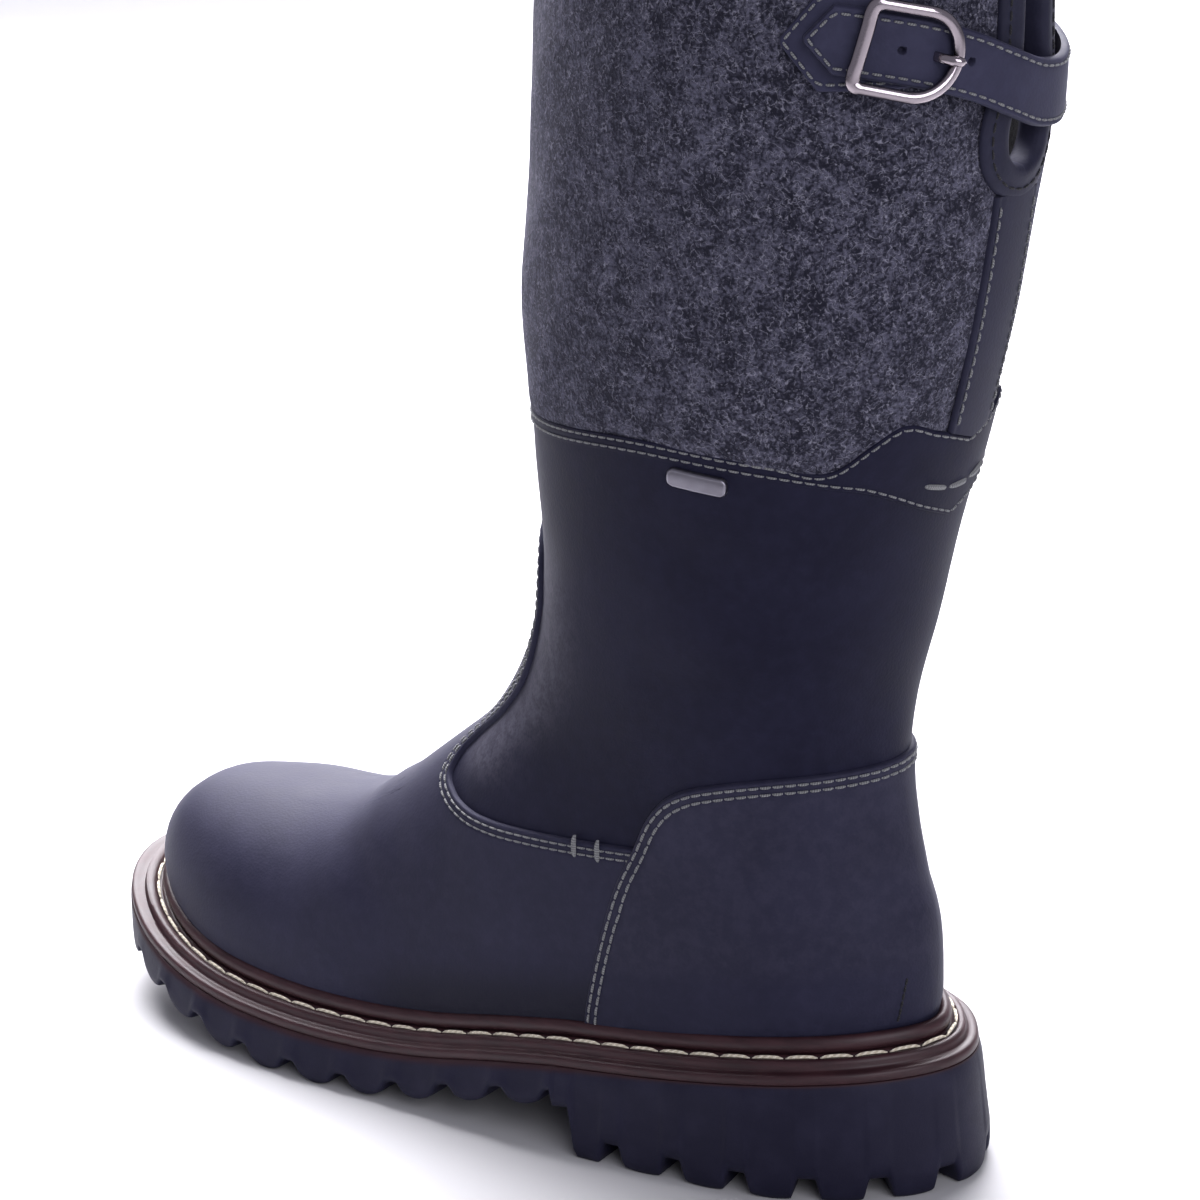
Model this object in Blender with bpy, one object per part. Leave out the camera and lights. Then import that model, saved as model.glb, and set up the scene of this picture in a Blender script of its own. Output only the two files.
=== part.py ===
"""Winter boot, left foot: an assembly of named solids in metres, +X to the toe, +Y to the outer side."""
import math

import bmesh
import bpy
import numpy as np

for old in list(bpy.data.objects):
    bpy.data.objects.remove(old, do_unlink=True)

# Driving dimensions, in millimetres; x runs from the sole's back edge to the toe, z up from the floor
MM = 0.001
GAP = 0.3
SOLE_LENGTH = 311.5
HEEL_CENTRE = 45.0
TREAD_HEIGHT = 14.2
WELT_HEIGHT = 6.0
BREAST_X = 101.0
BREAST_RAKE = 2.0
UPPER_INSET = 10.0
TOE_LEDGE = 3.5
TOE_LEDGE_START = 245.0
RAND_INSET = 8.5
FEATHER_TUCK = 2.5
TUCK_HEIGHT = 12.0
BULGE_HEIGHT = 8.0
TOE_SQUARENESS = 2.3
UPPER_WALL = 2.4
FELT_WALL = 4.0
FELT_TOP = 366.0
PANEL = 1.5
UPPER_COLUMNS = 36
UPPER_ROWS = 15
SHAFT_ROWS = 7
SLIT_REACH = (-60.0, 30.0)
SIDE_REACH = (-90.0, 90.0)
TOE_END = 330.0
HEEL_END = -20.0
FEATHER_V = 0.004
RAND_HEIGHT = 4.8
INSOLE_HEIGHT = 4.0
LUG_PITCH = 19.5
NOTCH_WIDTH = 8.6
NOTCH_DEPTH = 15.0
NOTCH_START = 6.0
NOTCH_HEEL = 6.6
NOTCH_FORE = 5.0
GROOVE_DEPTH = 4.0
CUT_BELOW = 8.0
SIDE_STATIONS = 26
FACING_WIDTH = 8.0
BINDING_WIDTH = 10.0
STRIP_HALF = 10.0
STRAP_THICKNESS = 2.2
BUCKLE_LENGTH = 26.5
BUCKLE_HEIGHT = 25.0
BUCKLE_WIRE = 1.8
PLATE_SIZE = (16.0, 5.4, 1.2)
PLATE_PLACE = (0.2115, 210.4)
SHAFT_GIRTH = 380.0
BAND_COLUMNS = 40
BAND_THICKNESS = 1.2

# Plan of the sole: share of the length, sideways swing of the middle line, half width
PLAN = np.array([
    # station, swing, half
    (0.00, 0.0, 0.0),
    (0.02, 0.0, 17.0),
    (0.06, 0.0, 30.0),
    (0.13, 0.5, 40.5),
    (0.25, 3.0, 44.0),
    (0.40, 4.5, 45.0),
    (0.55, 1.0, 48.5),
    (0.68, -4.5, 54.5),
    (0.80, -6.5, 52.5),
    (0.90, -7.0, 42.5),
    (0.96, -7.5, 30.0),
    (1.00, -8.0, 0.0),
])

# Side view of the sole in front of the heel's breast, with its lift behind it
SOLE_LINE = np.array([
    # x, lift of the tread's upper edge, height of its underside
    (0.0, 23.4, 16.0),
    (20.0, 22.8, 16.0),
    (40.0, 21.3, 16.0),
    (75.0, 16.9, 16.0),
    (101.0, 14.0, 15.4),
    (110.0, 12.8, 14.2),
    (124.0, 10.2, 11.8),
    (138.0, 7.2, 9.0),
    (152.0, 4.3, 5.8),
    (167.0, 1.9, 2.7),
    (180.0, 0.6, 0.8),
    (192.0, 0.1, 0.0),
    (205.0, 0.0, 0.0),
    (222.0, 0.4, 0.0),
    (234.0, 1.1, 1.4),
    (246.0, 2.3, 3.8),
    (258.0, 4.0, 6.2),
    (270.0, 6.2, 8.8),
    (282.0, 9.2, 11.6),
    (294.0, 13.6, 14.8),
    (311.5, 22.0, 20.0),
])

# Sections of the last, from the feather line to the collar: front point, back point, half width of the shaft
SECTIONS = np.array([
    # front_x, front_z, back_x, back_z, half
    (297.5, 36.6, 12.0, 42.6, 38.0),
    (297.3, 44.5, 11.8, 55.0, 38.0),
    (295.0, 52.0, 11.8, 64.0, 38.0),
    (290.0, 59.8, 12.3, 71.0, 38.0),
    (279.5, 66.5, 13.3, 76.0, 39.0),
    (261.5, 69.6, 14.4, 79.5, 39.5),
    (238.0, 72.4, 15.9, 84.0, 40.0),
    (214.0, 77.2, 17.4, 91.0, 40.5),
    (192.0, 88.3, 19.4, 101.0, 41.0),
    (171.0, 103.0, 21.2, 117.0, 42.5),
    (151.5, 119.5, 19.5, 138.0, 45.0),
    (139.5, 142.5, 14.1, 160.0, 47.5),
    (132.0, 170.0, 8.0, 185.0, 50.5),
    (132.4, 205.0, -1.0, 215.0, 54.0),
    (131.8, 250.0, -11.5, 255.0, 57.5),
    (128.0, 300.0, -19.5, 302.0, 59.5),
    (123.5, 338.0, -21.5, 338.0, 59.0),
    (120.0, 372.0, -22.0, 372.0, 58.0),
])
FEATHER_ROWS = 4.0
SHAFT_BLEND = (78.0, 168.0)
RIDGE_TURN = 122.0
RIDGE_SLOPE = 1.3


def smooth(t):
    """Soft step from 0 to 1."""
    t = np.clip(t, 0.0, 1.0)
    return t * t * (3.0 - 2.0 * t)


def through(x, xs, ys):
    """Smooth curve through rows: cubic pieces that share the slope of each row's neighbours."""
    slope = np.gradient(ys, xs)
    x = np.clip(x, xs[0], xs[-1])
    k = np.clip(np.searchsorted(xs, x) - 1, 0, len(xs) - 2)
    h = xs[k + 1] - xs[k]
    t = (x - xs[k]) / h
    rise = t * t * (3.0 - 2.0 * t)
    bend = t * (1.0 - t) * h * ((1.0 - t) * slope[k] - t * slope[k + 1])
    return ys[k] * (1.0 - rise) + ys[k + 1] * rise + bend


# Sole profile
def tread_top(x):
    """Height of the line where the black tread meets the brown welt."""
    return through(x, SOLE_LINE[:, 0], SOLE_LINE[:, 1]) + TREAD_HEIGHT


def tread_bottom(x):
    """Height of the tread's lowest face: the floor under heel and ball, an arch and a spring elsewhere."""
    underside = np.maximum(through(x, SOLE_LINE[:, 0], SOLE_LINE[:, 2]), 0.0)
    return np.where(x < BREAST_X + BREAST_RAKE / 2.0, 0.0, underside)


def welt_top(x):
    """Height of the welt's upper face, on which the upper stands."""
    return tread_top(x) + WELT_HEIGHT


def sole_edge(theta, inset):
    """Point of the sole's outline at an angle, 0 heel and pi toe, moved inwards by inset, more at the toe."""
    def at(angle):
        side = np.abs(np.mod(angle + math.pi, 2.0 * math.pi) - math.pi)
        rows = np.arccos(1.0 - 2.0 * PLAN[:, 0])
        x = SOLE_LENGTH * (1.0 - np.cos(side)) / 2.0
        y = through(side, rows, PLAN[:, 1]) + np.sign(np.sin(angle)) * through(side, rows, PLAN[:, 2])
        return np.stack([x, y], -1)
    step = 1e-3
    along = at(theta + step) - at(theta - step)
    along /= np.linalg.norm(along, axis=-1, keepdims=True)
    outward = np.stack([-along[..., 1], along[..., 0]], -1)
    edge = at(theta)
    toe = smooth((edge[..., :1] - TOE_LEDGE_START) / (SOLE_LENGTH - TOE_LEDGE_START))
    flare = min(inset, 0.0) * (1.0 - toe)
    ledge = TOE_LEDGE * toe * np.clip(inset / RAND_INSET, 0.0, 1.0)
    return edge - (max(inset, 0.0) + flare + ledge) * outward


# Form of the upper
ROWS = np.arange(len(SECTIONS), dtype=float)
TOP_ROW = ROWS[-1]
FINE = np.linspace(0.0, TOP_ROW, 1601)
FRONT_X, FRONT_Z, BACK_X, BACK_Z, SHAFT_HALF = (through(FINE, ROWS, SECTIONS[:, k]) for k in range(5))
FOOT_ANGLE = np.linspace(0.0, math.pi, 361)
FOOT_OUTER = sole_edge(FOOT_ANGLE, UPPER_INSET)
FOOT_INNER = sole_edge(-FOOT_ANGLE, UPPER_INSET)
FOOT_ENDS = FOOT_OUTER[0, 0], FOOT_OUTER[-1, 0]
TIP_X = max(FOOT_ENDS[1], FRONT_X.max()) + 0.05
ON_FOOT = (FRONT_Z < RIDGE_TURN) & (FINE >= 1.0)
RIDGE_X = np.append(FRONT_X[ON_FOOT], HEEL_END)[::-1]
RIDGE_Z = np.append(FRONT_Z[ON_FOOT], RIDGE_TURN + RIDGE_SLOPE * (FRONT_X[ON_FOOT][-1] - HEEL_END))[::-1]


def foot_side(share, edge):
    """Sideways place of the footprint's edge at a share of the foot's length."""
    angle = np.arccos(np.clip(1.0 - 2.0 * share, -1.0, 1.0))
    edge_share = (edge[:, 0] - FOOT_ENDS[0]) / (FOOT_ENDS[1] - FOOT_ENDS[0])
    return np.interp(angle, np.arccos(np.clip(1.0 - 2.0 * edge_share, -1.0, 1.0)), edge[:, 1])


def half_widths(x, z, back):
    """Middle line and half width at a side-view point: rounded foot sections melt into shaft ovals."""
    front = np.interp(z, FRONT_Z, FRONT_X)
    share = np.clip((x - back) / (TIP_X - back), 0.0, 1.0)
    outer = foot_side(share, FOOT_OUTER)
    inner = foot_side(share, FOOT_INNER)
    ridge = np.interp(x, RIDGE_X, RIDGE_Z)
    base = welt_top(x) + BULGE_HEIGHT
    climb = np.clip((z - base) / np.maximum(ridge - base, 1.0), 0.0, 1.0)
    foot = (outer - inner) / 2.0 * (1.0 - climb ** TOE_SQUARENESS) ** (1.0 / TOE_SQUARENESS)
    across = np.clip((2.0 * x - front - back) / (front - back), -1.0, 1.0)
    shaft = np.interp(z, BACK_Z, SHAFT_HALF) * np.sqrt(1.0 - across ** 2)
    blend = smooth((z - SHAFT_BLEND[0]) / (SHAFT_BLEND[1] - SHAFT_BLEND[0]))
    middle = (outer + inner) / 2.0 * (1.0 - blend)
    return middle, foot * (1.0 - blend) + shaft * blend


def bare_form(u, v):
    """Point of the last: u runs round from the back over the outer side, v from feather line to collar."""
    theta = 2.0 * math.pi * u
    row = np.clip(v, 0.0, 1.0) * TOP_ROW
    share = (1.0 - np.cos(theta)) / 2.0
    front_x, front_z = np.interp(row, FINE, FRONT_X), np.interp(row, FINE, FRONT_Z)
    back_x, back_z = np.interp(row, FINE, BACK_X), np.interp(row, FINE, BACK_Z)
    x = back_x + (front_x - back_x) * share
    chord = SECTIONS[0, 3] + (SECTIONS[0, 1] - SECTIONS[0, 3]) * share
    fade = 1.0 - smooth(row / FEATHER_ROWS)
    dip = (welt_top(x) - chord) * fade * (1.0 - (1.0 - fade) * share ** 6)
    z = back_z + (front_z - back_z) * share + dip
    middle, half = half_widths(x, z, back_x)
    return np.stack([x, middle + np.sign(np.round(np.sin(theta), 9)) * half, z], -1)


def form(u, v, offset=0.0):
    """Point of the upper's outer face, tucked in at the feather line, moved outwards by offset."""
    u, v = np.broadcast_arrays(np.asarray(u, float), np.asarray(v, float))
    step = 2e-3
    low, high = np.clip(v - step, 0.0, 1.0), np.clip(v + step, 0.0, 1.0)
    along = bare_form(u + step, v) - bare_form(u - step, v)
    upward = bare_form(u, high) - bare_form(u, low)
    normal = np.cross(upward, along)
    normal /= np.linalg.norm(normal, axis=-1, keepdims=True)
    point = bare_form(u, v)
    height = point[..., 2] - welt_top(point[..., 0])
    tuck = FEATHER_TUCK * np.clip(1.0 - height / TUCK_HEIGHT, 0.0, 1.0) ** 2
    return point + (offset - tuck)[..., None] * normal


def level(u, z):
    """Share v at which the column u reaches the height z, found by halving."""
    u, z = np.broadcast_arrays(np.asarray(u, float), np.asarray(z, float))
    low, high = np.zeros(u.shape), np.ones(u.shape)
    for _ in range(26):
        middle = (low + high) / 2.0
        above = bare_form(u, middle)[..., 2] > z
        low, high = np.where(above, low, middle), np.where(above, middle, high)
    return (low + high) / 2.0


def on_shaft(u, z, offset):
    """Point at a height z on the shaft."""
    u, z, offset = np.broadcast_arrays(*(np.asarray(a, float) for a in (u, z, offset)))
    return form(u, level(u, z), offset)


def at_back(y, z, offset):
    """Point of the shaft's back at a distance y from its middle line."""
    half = np.interp(z, BACK_Z, SHAFT_HALF)
    return on_shaft(np.arcsin(np.clip(y / half, -1.0, 1.0)) / (2.0 * math.pi), z, offset)


# Meshes
def paint(name, colour, roughness, metallic=0.0):
    """Material with one Principled shader."""
    material = bpy.data.materials.new(name)
    material.use_nodes = True
    shader = material.node_tree.nodes["Principled BSDF"]
    shader.inputs["Base Color"].default_value = (*colour, 1.0)
    shader.inputs["Roughness"].default_value = roughness
    shader.inputs["Metallic"].default_value = metallic
    return material


def solid(name, points, faces, material, hidden=False):
    """Named object from points in millimetres; the heel's middle on the floor becomes the origin."""
    mesh = bpy.data.meshes.new(name)
    places = (np.asarray(points, float).reshape(-1, 3) - (HEEL_CENTRE, 0.0, 0.0)) * MM
    mesh.from_pydata(places.tolist(), [], faces)
    work = bmesh.new()
    work.from_mesh(mesh)
    bmesh.ops.recalc_face_normals(work, faces=work.faces)
    work.to_mesh(mesh)
    work.free()
    mesh.shade_smooth()
    mesh.set_sharp_from_angle(angle=math.radians(40.0))
    thing = bpy.data.objects.new(name, mesh)
    bpy.context.scene.collection.objects.link(thing)
    if hidden:
        thing.hide_render = True
        thing.display_type = "WIRE"
    else:
        mesh.materials.append(material)
        thing.parent = BOOT
    return thing


def cut(thing, cutter, operation="DIFFERENCE"):
    """Boolean that stays on the object as a modifier: takes the cutter away, or keeps what lies inside it."""
    modifier = thing.modifiers.new("cut_" + cutter.name, "BOOLEAN")
    modifier.operation = operation
    modifier.solver = "EXACT"
    modifier.use_self = True
    modifier.object = cutter


def lattice(rows, columns, ring):
    """Triangles of a grid of rows by columns, closed round the columns where ring is set."""
    faces = []
    for j in range(rows - 1):
        for i in range(columns if ring else columns - 1):
            a, b = j * columns + i, j * columns + (i + 1) % columns
            faces += [(a, b, b + columns), (a, b + columns, a + columns)]
    return faces


def shell(name, outer, inner, ring, material):
    """Wall between two grids of points, closed along its edges."""
    rows, columns = outer.shape[:2]
    count = rows * columns
    faces = lattice(rows, columns, ring)
    faces += [tuple(count + k for k in face[::-1]) for face in lattice(rows, columns, ring)]
    top = (rows - 1) * columns
    last = columns if ring else columns - 1
    for i in range(last):
        n = (i + 1) % columns
        faces.append((i, count + i, count + n, n))
        faces.append((top + n, count + top + n, count + top + i, top + i))
    if not ring:
        for j in range(rows - 1):
            a, b = j * columns, (j + 1) * columns
            faces.append((b, count + b, count + a, a))
            faces.append((a + columns - 1, count + a + columns - 1, count + b + columns - 1, b + columns - 1))
    return solid(name, np.concatenate([outer.reshape(-1, 3), inner.reshape(-1, 3)]), faces, material)


def prism(name, outline, place, reach):
    """Hidden cutter: an outline carried from one end of reach to the other, put in space by place."""
    size = len(outline)
    points = [place(a, b, end) for end in reach for a, b in outline]
    faces = [(i, (i + 1) % size, size + (i + 1) % size, size + i) for i in range(size)]
    faces += [tuple(range(size))[::-1], tuple(size + i for i in range(size))]
    return solid(name, points, faces, None, hidden=True)


def sweep(name, sections, closed, material):
    """Solid through equal closed sections, joined end to end or capped."""
    count, size = sections.shape[:2]
    faces = []
    for j in range(count if closed else count - 1):
        n = (j + 1) % count
        faces += [(j * size + i, j * size + (i + 1) % size, n * size + (i + 1) % size, n * size + i)
                  for i in range(size)]
    if not closed:
        faces += [tuple(range(size)), tuple((count - 1) * size + i for i in range(size))[::-1]]
    return solid(name, sections, faces, material)


def plate(name, rings, material):
    """Solid through rings that run round the sole, closed at both ends by rungs from side to side."""
    count, size = rings.shape[:2]
    faces = lattice(count, size, True)
    side = size // 2
    for start in (0, (count - 1) * size):
        for k in range(side):
            rung = (k, k + 1, size - k - 1, (size - k) % size)
            faces.append(tuple(dict.fromkeys(start + r for r in rung)))
    return solid(name, rings, faces, material)


# Sole
def sole_angles(count):
    """Angles round the sole, the same on both sides, with two stations on the heel's breast."""
    side = np.linspace(0.0, math.pi, count + 1)
    breast = np.arccos(1.0 - 2.0 * (BREAST_X + np.array([0.0, BREAST_RAKE])) / SOLE_LENGTH)
    side[np.argsort(np.abs(side - breast.mean()))[:2]] = breast
    side.sort()
    return np.concatenate([side, 2.0 * math.pi - side[-2:0:-1]])


TREAD_SIDE = (
    # inset from the outline, share of the tread's height
    (-1.4, 0.0), (-2.7, 0.10), (-2.8, 0.22), (-0.8, 0.90), (0.3, 1.0))
NOTCH_ARCH = (
    # place across in notch widths, height in notch heights or, below zero, under the tread
    (-0.62, -1.0), (-0.40, 0.60), (-0.22, 1.0), (0.22, 1.0), (0.40, 0.60), (0.62, -1.0))
GROOVES = (
    # place along the sole, half length, turn in radians
    (22.0, 13.0, 0.0), (68.0, 17.0, 0.0), (146.0, 16.0, 0.30), (170.0, 20.0, -0.30),
    (222.0, 24.0, 0.30), (248.0, 20.0, -0.30))


def arch_bar(start, end, base, height):
    """Arched bar between two points of the plan, which cuts a notch of that height above base."""
    across = np.array([start[1] - end[1], end[0] - start[0]]) / np.linalg.norm(end - start)
    ends = []
    for spot in (start, end):
        ends += [(*(spot + across * w * NOTCH_WIDTH), base + (h * height if h > 0.0 else h * CUT_BELOW))
                 for w, h in NOTCH_ARCH]
    return np.array(ends)


def make_outsole(material):
    """Tread with its heel block, scalloped all round and grooved across underneath."""
    theta = sole_angles(SIDE_STATIONS)
    bottom = tread_bottom(sole_edge(theta, 0.0)[:, 0])
    rings = []
    for inset, share in TREAD_SIDE:
        edge = sole_edge(theta, inset)
        height = bottom + (tread_top(edge[:, 0]) - bottom) * share
        rings.append(np.column_stack([edge, height]))
    outsole = plate("outsole", np.array(rings), material)
    dense = np.linspace(0.0, 2.0 * math.pi, 1441)
    edge = sole_edge(dense, 0.0)
    run = np.concatenate([[0.0], np.cumsum(np.linalg.norm(np.diff(edge, axis=0), axis=1))])
    count = int(run[-1] / LUG_PITCH)
    notches = []
    for k in range(count):
        angle = np.array([np.interp((k + 0.5) * run[-1] / count, run, dense)])
        x = sole_edge(angle, 0.0)[0, 0]
        if abs(x - BREAST_X) > NOTCH_WIDTH:
            height = NOTCH_HEEL if x < BREAST_X else NOTCH_FORE
            outside, inside = sole_edge(angle, -NOTCH_START)[0], sole_edge(angle, NOTCH_DEPTH)[0]
            notches.append(arch_bar(outside, inside, float(tread_bottom(x)), height))
    for x, half, turn in GROOVES:
        middle = np.array([x, np.interp(x / SOLE_LENGTH, PLAN[:, 0], PLAN[:, 1])])
        reach = half * np.array([math.sin(turn), math.cos(turn)])
        notches.append(arch_bar(middle - reach, middle + reach, float(tread_bottom(x)), GROOVE_DEPTH))
    size = len(NOTCH_ARCH)
    faces = []
    for start in range(0, 2 * size * len(notches), 2 * size):
        faces += [(start + i, start + (i + 1) % size, start + size + (i + 1) % size, start + size + i)
                  for i in range(size)]
        faces += [tuple(start + i for i in range(size))[::-1], tuple(start + size + i for i in range(size))]
    cut(outsole, solid("notch_cutter", np.concatenate(notches), faces, None, hidden=True))


WELT_SIDE = (
    # inset from the outline, share of the welt's height
    (0.9, 0.0), (0.2, 0.10), (0.5, 0.46), (3.4, 0.54), (3.8, 0.90), (4.4, 1.0),
    (7.2, 1.0), (7.6, 0.88), (8.3, 0.88), (8.6, 1.0))
RAND_SIDE = (
    # inset from the outline, share of the rand's height
    (8.9, 0.06), (8.5, 0.45), (9.2, 0.90), (10.2, 1.0), (10.8, 0.50), (11.6, 0.06))
INSOLE_SIDE = (
    # inset from the outline, height above the welt
    (18.8, GAP), (18.0, 1.0), (18.0, INSOLE_HEIGHT - 0.6), (19.0, INSOLE_HEIGHT))


def make_welt(material):
    """Brown welt: side band, two ledges with a riser between, stitch channel and the seat of the upper."""
    theta = sole_angles(SIDE_STATIONS - 6)
    rings = []
    for inset, share in WELT_SIDE:
        edge = sole_edge(theta, inset)
        low = tread_top(edge[:, 0]) + GAP
        rings.append(np.column_stack([edge, low + (welt_top(edge[:, 0]) - low) * share]))
    plate("welt", np.array(rings), material)


def make_rand(material):
    """Rolled bead that seals the joint between welt and upper."""
    theta = sole_angles(SIDE_STATIONS - 8)
    sections = []
    for inset, share in RAND_SIDE:
        edge = sole_edge(theta, inset)
        sections.append(np.column_stack([edge, welt_top(edge[:, 0]) + share * RAND_HEIGHT]))
    sweep("rand", np.stack(sections, 1), True, material)


def make_insole(material):
    """Footbed inside the upper, on the welt's seat."""
    theta = sole_angles(SIDE_STATIONS - 12)
    rings = []
    for inset, height in INSOLE_SIDE:
        edge = sole_edge(theta, inset)
        rings.append(np.column_stack([edge, welt_top(edge[:, 0]) + height]))
    plate("insole", np.array(rings), material)


# Upper and shaft
BAND = np.array([
    # angle from the back in degrees, lower edge, upper edge
    (0.0, 194.5, 217.5),
    (15.0, 199.5, 222.0),
    (27.0, 204.5, 225.0),
    (34.0, 207.0, 220.5),
    (42.0, 209.0, 215.5),
    (60.0, 212.0, 217.8),
    (90.0, 215.0, 220.2),
    (130.0, 213.5, 218.7),
    (180.0, 212.0, 217.2),
])


def band_edge(u, column):
    """Height of the seam band's lower or upper edge round the shaft."""
    angle = np.abs(np.mod(u + 0.5, 1.0) - 0.5) * 360.0
    return through(angle, BAND[:, 0], BAND[:, column])


def joint_height(u):
    """Height at which leather upper and felt shaft meet, under the seam band."""
    return (band_edge(u, 1) + band_edge(u, 2)) / 2.0


def wall_grid(u, low, high, shares, offset):
    """Grid of points between two shares v of each column, moved outwards by offset."""
    v = low + (high - low) * shares[:, None]
    return form(np.broadcast_to(u, v.shape), v, np.broadcast_to(offset, v.shape))


def upper_grid(offset):
    """Grid of the upper's face from feather line to seam band, moved outwards by offset."""
    u = np.arange(UPPER_COLUMNS) / UPPER_COLUMNS
    high = level(u, joint_height(u) - GAP / 2.0)
    return wall_grid(u, np.full(UPPER_COLUMNS, FEATHER_V), high, np.linspace(0.0, 1.0, UPPER_ROWS), offset)


def make_upper(material):
    """Hollow leather upper, open underneath and at the seam band."""
    shell("upper", upper_grid(0.0), upper_grid(-UPPER_WALL), True, material)


SLIT = np.array([
    # height, half width of the slit at the back
    (291.0, 1.5),
    (292.0, 4.0),
    (295.0, 7.5),
    (300.0, 9.0),
    (310.0, 7.5),
    (322.0, 5.5),
    (336.0, 5.0),
    (376.0, 6.5),
])


def make_shaft(material):
    """Felt shaft with the slit that opens it at the back."""
    u = np.arange(UPPER_COLUMNS) / UPPER_COLUMNS
    low = level(u, joint_height(u) + GAP / 2.0)
    high = level(u, np.full(UPPER_COLUMNS, FELT_TOP))
    shares = np.linspace(0.0, 1.0, SHAFT_ROWS)
    outer, inner = (wall_grid(u, low, high, shares, offset) for offset in (0.0, -FELT_WALL))
    shaft = shell("shaft", outer, inner, True, material)
    outline = [(half, z) for z, half in SLIT] + [(-half, z) for z, half in SLIT[::-1]]
    cut(shaft, prism("slit_cutter", outline, lambda y, z, x: (x, y, z), SLIT_REACH))


# Panels sewn on the upper, given by their edges in the side view
COUNTER = np.array([
    # height, place of the front edge
    (41.0, 104.0),
    (68.0, 97.0),
    (83.0, 92.0),
    (94.0, 86.5),
    (105.0, 81.0),
    (110.0, 76.0),
    (114.0, 69.0),
    (117.0, 60.0),
    (120.0, 46.0),
    (122.5, 14.0),
])
QUARTER = np.array([
    # height, place of the front edge that the vamp overlaps
    (93.0, 148.0),
    (95.0, 156.0),
    (99.0, 161.5),
    (104.0, 159.5),
    (110.0, 154.0),
    (120.0, 142.5),
    (132.0, 131.8),
    (148.0, 125.5),
    (164.0, 122.8),
    (172.0, 124.0),
    (179.0, 127.5),
    (183.0, 131.5),
    (186.0, 140.0),
])


def rand_line(x):
    """Side-view points just above the rand."""
    return list(zip(x, welt_top(x) + RAND_HEIGHT + 2.0 * GAP))


def edge_line(table, shift):
    """Side-view points of a panel's front edge, bottom to top, moved forwards by shift."""
    z = np.linspace(table[0, 0], table[-1, 0], 18)
    return list(zip(through(z, table[:, 0], table[:, 1]) + shift, z))


def panel(name, outline, material):
    """Leather panel: what a side-view outline cuts from the wall between two larger forms of the upper."""
    piece = shell(name, upper_grid(GAP + PANEL), upper_grid(GAP), True, material)
    cut(piece, prism(name + "_cutter", outline, lambda x, z, y: (x, y, z), SIDE_REACH), "INTERSECT")


def make_counter(material):
    """Heel counter round the back of the foot."""
    low = rand_line(np.linspace(HEEL_END, COUNTER[0, 1] - 1.5, 7))
    front = [spot for spot in edge_line(COUNTER, -GAP) if spot[1] > low[-1][1] + 1.0]
    panel("counter", low + front + [(HEEL_END, COUNTER[-1, 0])], material)


def make_vamp(material):
    """Vamp with the tongue that it sends up the front of the shaft."""
    low = rand_line(np.linspace(COUNTER[0, 1] + 0.5, TOE_END, 12))
    counter = [spot for spot in edge_line(COUNTER, GAP) if low[0][1] + 1.0 < spot[1] < QUARTER[0, 0] - 1.0]
    joint = [(through(QUARTER[0, 0], COUNTER[:, 0], COUNTER[:, 1]) + GAP, QUARTER[0, 0])]
    top = [(TOE_END, QUARTER[-1, 0]), (QUARTER[-1, 1], QUARTER[-1, 0])]
    panel("vamp", low + top + edge_line(QUARTER, GAP)[-2::-1] + joint + counter[::-1], material)


def strip(name, u, low, high, offset, thickness, rows, ring, material):
    """Leather strip on the shaft between two heights of each column."""
    z = low + (high - low) * np.linspace(0.0, 1.0, rows)[:, None]
    columns = np.broadcast_to(u, z.shape)
    shell(name, on_shaft(columns, z, offset + thickness), on_shaft(columns, z, offset), ring, material)


def make_back_strip(material):
    """Strip up the shaft's back from the seam band to the slit's facing."""
    y = np.linspace(-STRIP_HALF, STRIP_HALF, 7)
    low = np.interp(np.abs(y), (0.0, STRIP_HALF), (218.9, 222.0))
    high = SLIT[0, 0] - FACING_WIDTH - 3.0 * GAP + 0.02 * y ** 2
    z = low + (high - low) * np.linspace(0.0, 1.0, 5)[:, None]
    shell("back_strip", at_back(y, z, GAP + PANEL), at_back(y, z, GAP), False, material)


def make_facing(material):
    """Leather facing sewn round the edge of the slit."""
    top = FELT_TOP - BINDING_WIDTH - 1.0
    z = np.array([top, 342.0, 328.0, 314.0, 305.0, 299.0, 295.0, 292.6, SLIT[0, 0]])
    half = np.where(z > SLIT[0, 0], np.interp(z, SLIT[:, 0], SLIT[:, 1]), 0.0)
    path = np.array(list(zip(half, z)) + list(zip(-half[-2::-1], z[-2::-1])))
    along = np.gradient(path, axis=0)
    along /= np.linalg.norm(along, axis=1, keepdims=True)
    away = np.column_stack([-along[:, 1], along[:, 0]])
    sections = []
    for reach, offset in ((0.4, GAP), (0.4, 1.6), (2.0, 2.1), (FACING_WIDTH - 1.0, 1.8), (FACING_WIDTH, GAP)):
        spot = path + away * reach
        sections.append(at_back(spot[:, 0], spot[:, 1], offset))
    sweep("slit_facing", np.stack(sections, 1), False, material)


def make_collar(material):
    """Binding folded over the felt's top edge, open at the slit."""
    edge = math.asin((SLIT[-1, 1] + 1.0) / SECTIONS[-1, 4]) / (2.0 * math.pi)
    u = np.concatenate([[edge], np.arange(1, UPPER_COLUMNS) / UPPER_COLUMNS, [1.0 - edge]])
    inside = -FELT_WALL - GAP
    low, top = FELT_TOP - BINDING_WIDTH, FELT_TOP + GAP
    fold = ((GAP, low), (1.6, low), (1.2, top + 1.6), (-FELT_WALL / 2.0, top + 2.3),
            (inside - 1.0, top + 1.6), (inside - 1.3, low), (inside, low), (inside, top), (GAP, top))
    sweep("collar_binding", np.stack([on_shaft(u, z, offset) for offset, z in fold], 1), False, material)


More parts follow.
